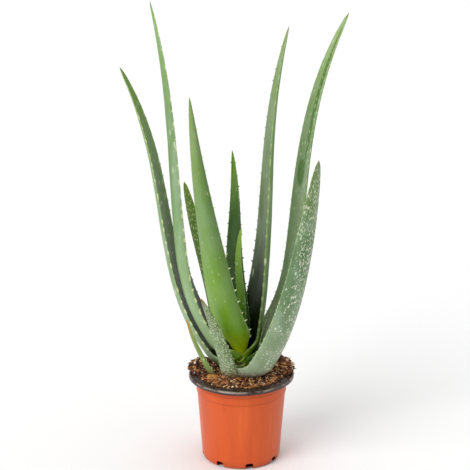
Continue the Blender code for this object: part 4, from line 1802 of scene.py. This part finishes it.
@dataclass(frozen=True)
class PottingMix:
    """The mix: a heaped bed, the particles that lie on it, and the larger bark."""
    pot: NurseryPot
    edge_drop: float = 0.0015
    mound: float = 0.0050
    mound_back: float = 0.0050
    roughness: float = 0.0014
    lump: float = 0.0085
    gap: float = 0.0008
    chip_sink: float = 0.0010

    HEAPS = ((0.0435, 0.0200, 0.0120, 0.0090), (-0.0440, 0.0160, 0.0080, 0.0090),
             (-0.0470, -0.0040, 0.0030, 0.0070), (0.0480, 0.0000, 0.0040, 0.0080),
             (0.0000, 0.0460, 0.0040, 0.0120))
    SPILLS = ((138.0, 190.0, 0.0530, 0.0070, 0.0072), (-14.0, 52.0, 0.0535, 0.0066, 0.0075),
              (70.0, 118.0, 0.0520, 0.0045, 0.0040))
    GRAIN_POINTS = 12
    FIBRE_POINTS = 28
    FIBRES = {"Density": 26000.0, "Length": 0.0085, "Thickness": 0.00016}
    LEAF_REACH = 0.006
    CLEARANCE = 0.0009
    NEARBY = 0.02
    TOP_DEPTH = 0.004
    CRUMB_RISE = 0.0013
    CRUMB_SCALE = 300.0

    def height(self, x: float, y: float) -> float:
        """Height of the mix's even surface, without its heaps and crumbs.

        Args:
            x: the place, as is y.

        Returns:
            The height.
        """
        edge = self.pot.inner_radius(LIP_HEIGHT)
        share = min(math.hypot(x, y) / edge, 1.0)
        level = LIP_HEIGHT - self.edge_drop + self.mound * (1 - share ** 2.2)
        level += self.mound_back * (0.5 + 0.5 * y / edge) * (1 - share ** 6)
        return level + self.roughness * noise.noise(Vector((x, y, 0.0)) / self.lump)

    def heaped(self, x: float, y: float) -> float:
        """Height of the mix with its heaps and its finest lumps.

        Args:
            x: the place, as is y.

        Returns:
            The height.
        """
        height = self.height(x, y)
        for heap_x, heap_y, rise, spread in self.HEAPS:
            height += rise * math.exp(-((x - heap_x) ** 2 + (y - heap_y) ** 2) / spread ** 2)
        crumbs = noise.fractal(Vector((x, y, 0.3)) * self.CRUMB_SCALE, 0.6, 2.0, 4)
        return height + self.CRUMB_RISE * crumbs

    def build(self, plant: list[Object]) -> None:
        """Make the bed and everything that lies on it.

        Args:
            plant: the pieces that stand in the mix, which its particles keep off.
        """
        peat = self._mix_material()
        bed = new_piece("potting_mix_bed", self._bed(), peat)
        self._mark_room(bed, plant)
        self._scatter("bed", bed, 17)
        settle(bed, "potting_mix", "potting_mix")
        spill = new_piece("spilled_mix", self._spill(), peat)
        self._mark_room(spill, plant)
        self._scatter("lip", spill, 47)
        settle(spill, "potting_mix")
        for number, chip in enumerate(CHIPS, start=1):
            self._chip(number, chip)

    def _bed(self) -> Mesh:
        """The closed body of mix, its top heaped and lumpy.

        Returns:
            The mesh.
        """
        sides, steps = 150, 54
        edge = self.pot.inner_radius(LIP_HEIGHT - self.edge_drop) - self.gap
        rings = [[Vector((0.0, 0.0, self.heaped(0.0, 0.0)))]]
        for k in range(1, steps + 1):
            radius = edge * k / steps
            spots = [polar(radius, math.tau * i / sides, 0.0) for i in range(sides)]
            rings.append([Vector((x, y, self.heaped(x, y))) for x, y, _ in spots])
        base = self.pot.floor_rise + self.pot.wall + 0.0003
        band = LIP_HEIGHT - self.pot.band_height
        for height in (band, 0.5 * band, base + self.pot.foot_round, base):
            radius = self.pot.inner_radius(height) - self.gap
            if height == base:
                radius -= self.pot.foot_round
            rings.append([Vector(polar(radius, math.tau * i / sides, height))
                          for i in range(sides)])
        rings.append([Vector((0.0, 0.0, base))])
        return loft_mesh("potting_mix_bed", rings)

    def _spill(self) -> Mesh:
        """Low heaps of mix that have slid over the lip.

        Returns:
            The mesh.
        """
        lofts = []
        for start, stop, radius, half, rise in self.SPILLS:
            count, arc = 46, 12
            rings = []
            for k in range(count + 1):
                turn = math.radians(start + (stop - start) * k / count)
                swell = math.sin(math.pi * min(max(k / count, 0.02), 0.98)) ** 0.6
                ring = []
                for i in range(arc):
                    lean = math.tau * i / arc
                    lump = 1 + 0.35 * noise.noise(Vector((turn * 14.0, lean, rise)))
                    out = radius + half * swell * lump * math.cos(lean)
                    up = max(math.sin(lean), -0.15) * rise * swell * lump
                    ring.append(Vector(polar(out, turn, LIP_HEIGHT + 0.0002 + up)))
                rings.append(ring)
            lofts.append(rings)
        return loft_mesh("spilled_mix", *lofts)

    def _mark_room(self, bed: Object, plant: list[Object]) -> None:
        """Store where the bed's top is clear of the plant, for the particles.

        Args:
            bed: the body that they lie on.
            plant: the pieces that stand in it.
        """
        trees = [search_tree(piece) for piece in plant]
        room = []
        for vertex in bed.data.vertices:
            clear = 1.0 if vertex.co.z > LIP_HEIGHT - self.TOP_DEPTH else 0.0
            for tree in trees:
                spot, normal, _, distance = tree.find_nearest(vertex.co, self.NEARBY)
                if spot is None:
                    continue
                inside = distance < self.LEAF_REACH and (vertex.co - spot).dot(normal) < 0
                clear = 0.0 if inside or distance < self.CLEARANCE else clear
            room.append(clear)
        point_values(bed.data, "room", "FLOAT", room)

    def _drop_strays(self, piece: Object, size: int) -> None:
        """Remove the particles that reach into the pot's wall.

        Args:
            piece: the realised particles.
            size: how many points each has.
        """
        limit = self.pot.inner_radius(LIP_HEIGHT) - 0.0002
        strays = set()
        for vertex in piece.data.vertices:
            low = vertex.co.z < LIP_HEIGHT - 0.0004
            if low and math.hypot(vertex.co.x, vertex.co.y) > limit:
                strays.add(vertex.index // size)
        builder = bmesh.new()
        builder.from_mesh(piece.data)
        lost = [vertex for vertex in builder.verts if vertex.index // size in strays]
        bmesh.ops.delete(builder, geom=lost, context="VERTS")
        builder.to_mesh(piece.data)
        builder.free()

    def _scatter(self, place: str, bed: Object, seed: int) -> None:
        """Scatter each kind of particle, and the fibres.

        Args:
            place: the first word of the pieces' names.
            bed: the body that they lie on.
            seed: the first seed of the draws.
        """
        tree = GrainTree()
        for number, run in enumerate(GRAIN_RUNS):
            piece = new_piece(f"{place}_{run.kind.value}", bed.data.copy())
            piece.data.materials.clear()
            tree.run(piece, {"Density": run.density,
                             "Size": (run.length, run.width, run.thickness),
                             "Spread": run.spread, "Lift": run.lift, "Seed": seed + number,
                             "Material": self._grain_material(run)})
            self._drop_strays(piece, self.GRAIN_POINTS)
            settle(piece, run.slot)
        strands = new_piece(f"{place}_coir_fibres", bed.data.copy())
        strands.data.materials.clear()
        FibreTree().run(strands, self.FIBRES | {"Seed": seed, "Material": self._fibre_material()})
        self._drop_strays(strands, self.FIBRE_POINTS)
        settle(strands, "potting_mix")

    @staticmethod
    def _mix_material() -> Material:
        """Dark, damp peat between the particles.

        Returns:
            The material.
        """
        paint = Paint("peat")
        place = paint.place()
        speck = paint.noise(place, 900.0, 6.0, 0.7)
        colour = paint.ramp(speck, ((0.30, srgb(30, 16, 10)), (0.50, srgb(66, 38, 22)),
                                    (0.66, srgb(108, 68, 38)), (0.82, srgb(168, 116, 70))))
        grain = paint.group(EFFECTS.grain, place=place, density=1800.0, contrast=2.0)
        return paint.dressed(colour, paint.scaled_plus(grain, 0.2, 0.8), speck, 0.0012)

    @staticmethod
    def _grain_material(run: GrainRun) -> Material:
        """The finish of one kind of particle, each in a tone of its own.

        Args:
            run: the kind of particle.

        Returns:
            The material.
        """
        paint = Paint(run.kind.value)
        tint = paint.attribute("tint").outputs["Fac"]
        colour = paint.ramp(tint, run.stops)
        speck = paint.noise(paint.place(), 1600.0, 4.0)
        colour = paint.mix(paint.ease(speck, 0.45, 0.8, 0.0, 0.5), colour, (0.30, 0.22, 0.16),
                           "MULTIPLY")
        return paint.dressed(colour, run.roughness, speck, 0.0004)

    @staticmethod
    def _fibre_material() -> Material:
        """Tan to dark coir.

        Returns:
            The material.
        """
        paint = Paint("coir")
        tone = paint.noise(paint.place(), 90.0)
        colour = paint.ramp(tone, ((0.35, srgb(70, 40, 22)), (0.65, srgb(158, 112, 68))))
        return paint.dressed(colour, 0.8)

    def _chip(self, number: int, chip: BarkChip) -> None:
        """One split, layered piece of bark with broken ends.

        Args:
            number: its number, from 1.
            chip: where it lies and its size.
        """
        turn = math.radians(chip.azimuth)
        distance = chip.out * self.pot.inner_radius(LIP_HEIGHT)
        x, y, _ = polar(distance, turn, 0.0)
        height = self.height(x, y) + chip.size[2] / 2 - self.chip_sink
        builder = bmesh.new()
        bmesh.ops.create_cube(builder, size=1.0)
        bmesh.ops.subdivide_edges(builder, edges=builder.edges[:], cuts=9, use_grid_fill=True)
        own = []
        for vertex in builder.verts:
            place = vertex.co.copy()
            layer = 0.10 * noise.noise((place.x * 1.2, place.y * 7.0, place.z * 9.0 + number))
            broken = 0.16 * noise.noise((place.z * 5.0, place.y * 5.0, number * 3.0))
            rounded = place.normalized() * 0.60
            place = place.lerp(rounded, 0.48)
            bite = noise.noise(place * 2.3 + Vector((number * 5.0, 0.0, 0.0)))
            place *= 1.0 + 0.30 * bite + 0.10 * noise.noise(place * 8.0)
            place.x *= 1.0 + broken
            place.y *= 1.0 + 0.12 * noise.noise(place * 3.0 + Vector((number, 0, 0)))
            place.z *= 1.0 + 1.6 * layer
            own.append(place.copy())
            vertex.co = Vector(a * b for a, b in zip(place, chip.size))
        matrix = (Matrix.Translation((x, y, height))
                  @ Matrix.Rotation(math.radians(chip.turn), 4, "Z")
                  @ Matrix.Rotation(math.radians(chip.tilt), 4, "Y"))
        bmesh.ops.transform(builder, matrix=matrix, verts=builder.verts)
        mesh = built_mesh(f"bark_piece_{number}", builder)
        point_values(mesh, "own_place", "FLOAT_VECTOR", own)
        mesh.set_sharp_from_angle(angle=SHARP_ANGLE)
        piece = new_piece(f"bark_piece_{number}", mesh, self._bark(number, chip.tone))
        settle(piece, "bark", f"bark_chip_{number}")

    @staticmethod
    def _bark(number: int, tone: Colour) -> Material:
        """Layered bark: lengthwise fibres in light and dark seams.

        Args:
            number: the piece's number.
            tone: its colour.

        Returns:
            The material.
        """
        paint = Paint(f"bark_{number}")
        own = paint.attribute("own_place").outputs["Vector"]
        seams = paint.noise(paint.scaled(own, (1.4, 9.0, 7.0)), 1.0, 5.0, 0.65)
        dark = tuple(channel * 0.28 for channel in tone)
        light = tuple(min(channel * 1.35, 1.0) for channel in tone)
        colour = paint.ramp(seams, ((0.32, dark), (0.50, tone), (0.74, light)))
        grain = paint.group(EFFECTS.grain, place=paint.place(), density=1500.0, contrast=1.6)
        colour = paint.mix(paint.times(grain, 0.25), colour, dark)
        return paint.dressed(colour, paint.scaled_plus(grain, 0.15, 0.75), seams, 0.0007)


# ---- Studio ----

@dataclass(frozen=True)
class Studio:
    """The floor, the lights and the camera."""
    camera_place: Vector = Vector((-0.007, -1.8, 0.829))
    camera_aim: Vector = Vector((-0.007, 0.0, 0.265))
    lens: float = 130.1
    floor_half: float = 12.0
    floor_tone: Colour = (0.92, 0.92, 0.92)
    surround: float = 0.50

    SUNS = (("key", (-0.75, -0.80, 0.85), 1.7, 38.0), ("top", (0.10, 0.10, 1.00), 0.9, 60.0))

    def build(self) -> None:
        """Set up the stage."""
        self._floor()
        for sun in self.SUNS:
            self._sun(*sun)
        self._world()
        data = bpy.data.cameras.new("camera")
        data.lens = self.lens
        camera = bpy.data.objects.new("camera", data)
        camera.location = self.camera_place
        aim = self.camera_aim - self.camera_place
        camera.rotation_euler = aim.to_track_quat("-Z", "Y").to_euler()
        scene = bpy.context.scene
        scene.collection.objects.link(camera)
        scene.camera = camera
        scene.view_settings.view_transform = "Standard"

    def _floor(self) -> None:
        """A plain pale floor."""
        half = self.floor_half
        mesh = bpy.data.meshes.new("floor")
        mesh.from_pydata([(-half, -half, 0), (half, -half, 0), (half, half, 0), (-half, half, 0)],
                         [], [(0, 1, 2, 3)])
        floor = new_piece("floor", mesh, Paint("floor").dressed(self.floor_tone, 0.9))

    @staticmethod
    def _sun(name: str, source: tuple[float, float, float], power: float, softness: float) -> None:
        """An even, soft light from one direction.

        Args:
            name: the light's name.
            source: the direction that it comes from.
            power: its strength.
            softness: how wide it is, in degrees.
        """
        data = bpy.data.lights.new(name, "SUN")
        data.energy = power
        data.angle = math.radians(softness)
        light = bpy.data.objects.new(name, data)
        light.rotation_euler = (-Vector(source)).to_track_quat("-Z", "Y").to_euler()
        bpy.context.scene.collection.objects.link(light)

    def _world(self) -> None:
        """An even white surround."""
        world = bpy.data.worlds.new("surround")
        world.use_nodes = True
        background = world.node_tree.nodes["Background"]
        background.inputs["Color"].default_value = (1.0, 1.0, 1.0, 1.0)
        background.inputs["Strength"].default_value = self.surround
        bpy.context.scene.world = world


def main() -> None:
    """Build the plant, its pot and its stage."""
    logging.basicConfig(level=logging.INFO, format="%(name)s: %(message)s")
    crown = Crown()
    cone = crown.build()
    for collar in COLLARS:
        collar.build(crown)
    rosette = Rosette(crown)
    rosette.build()
    pot = NurseryPot()
    pot.build()
    PottingMix(pot).build([cone, *rosette.blades])
    Studio().build()


if __name__ == "__main__":
    main()
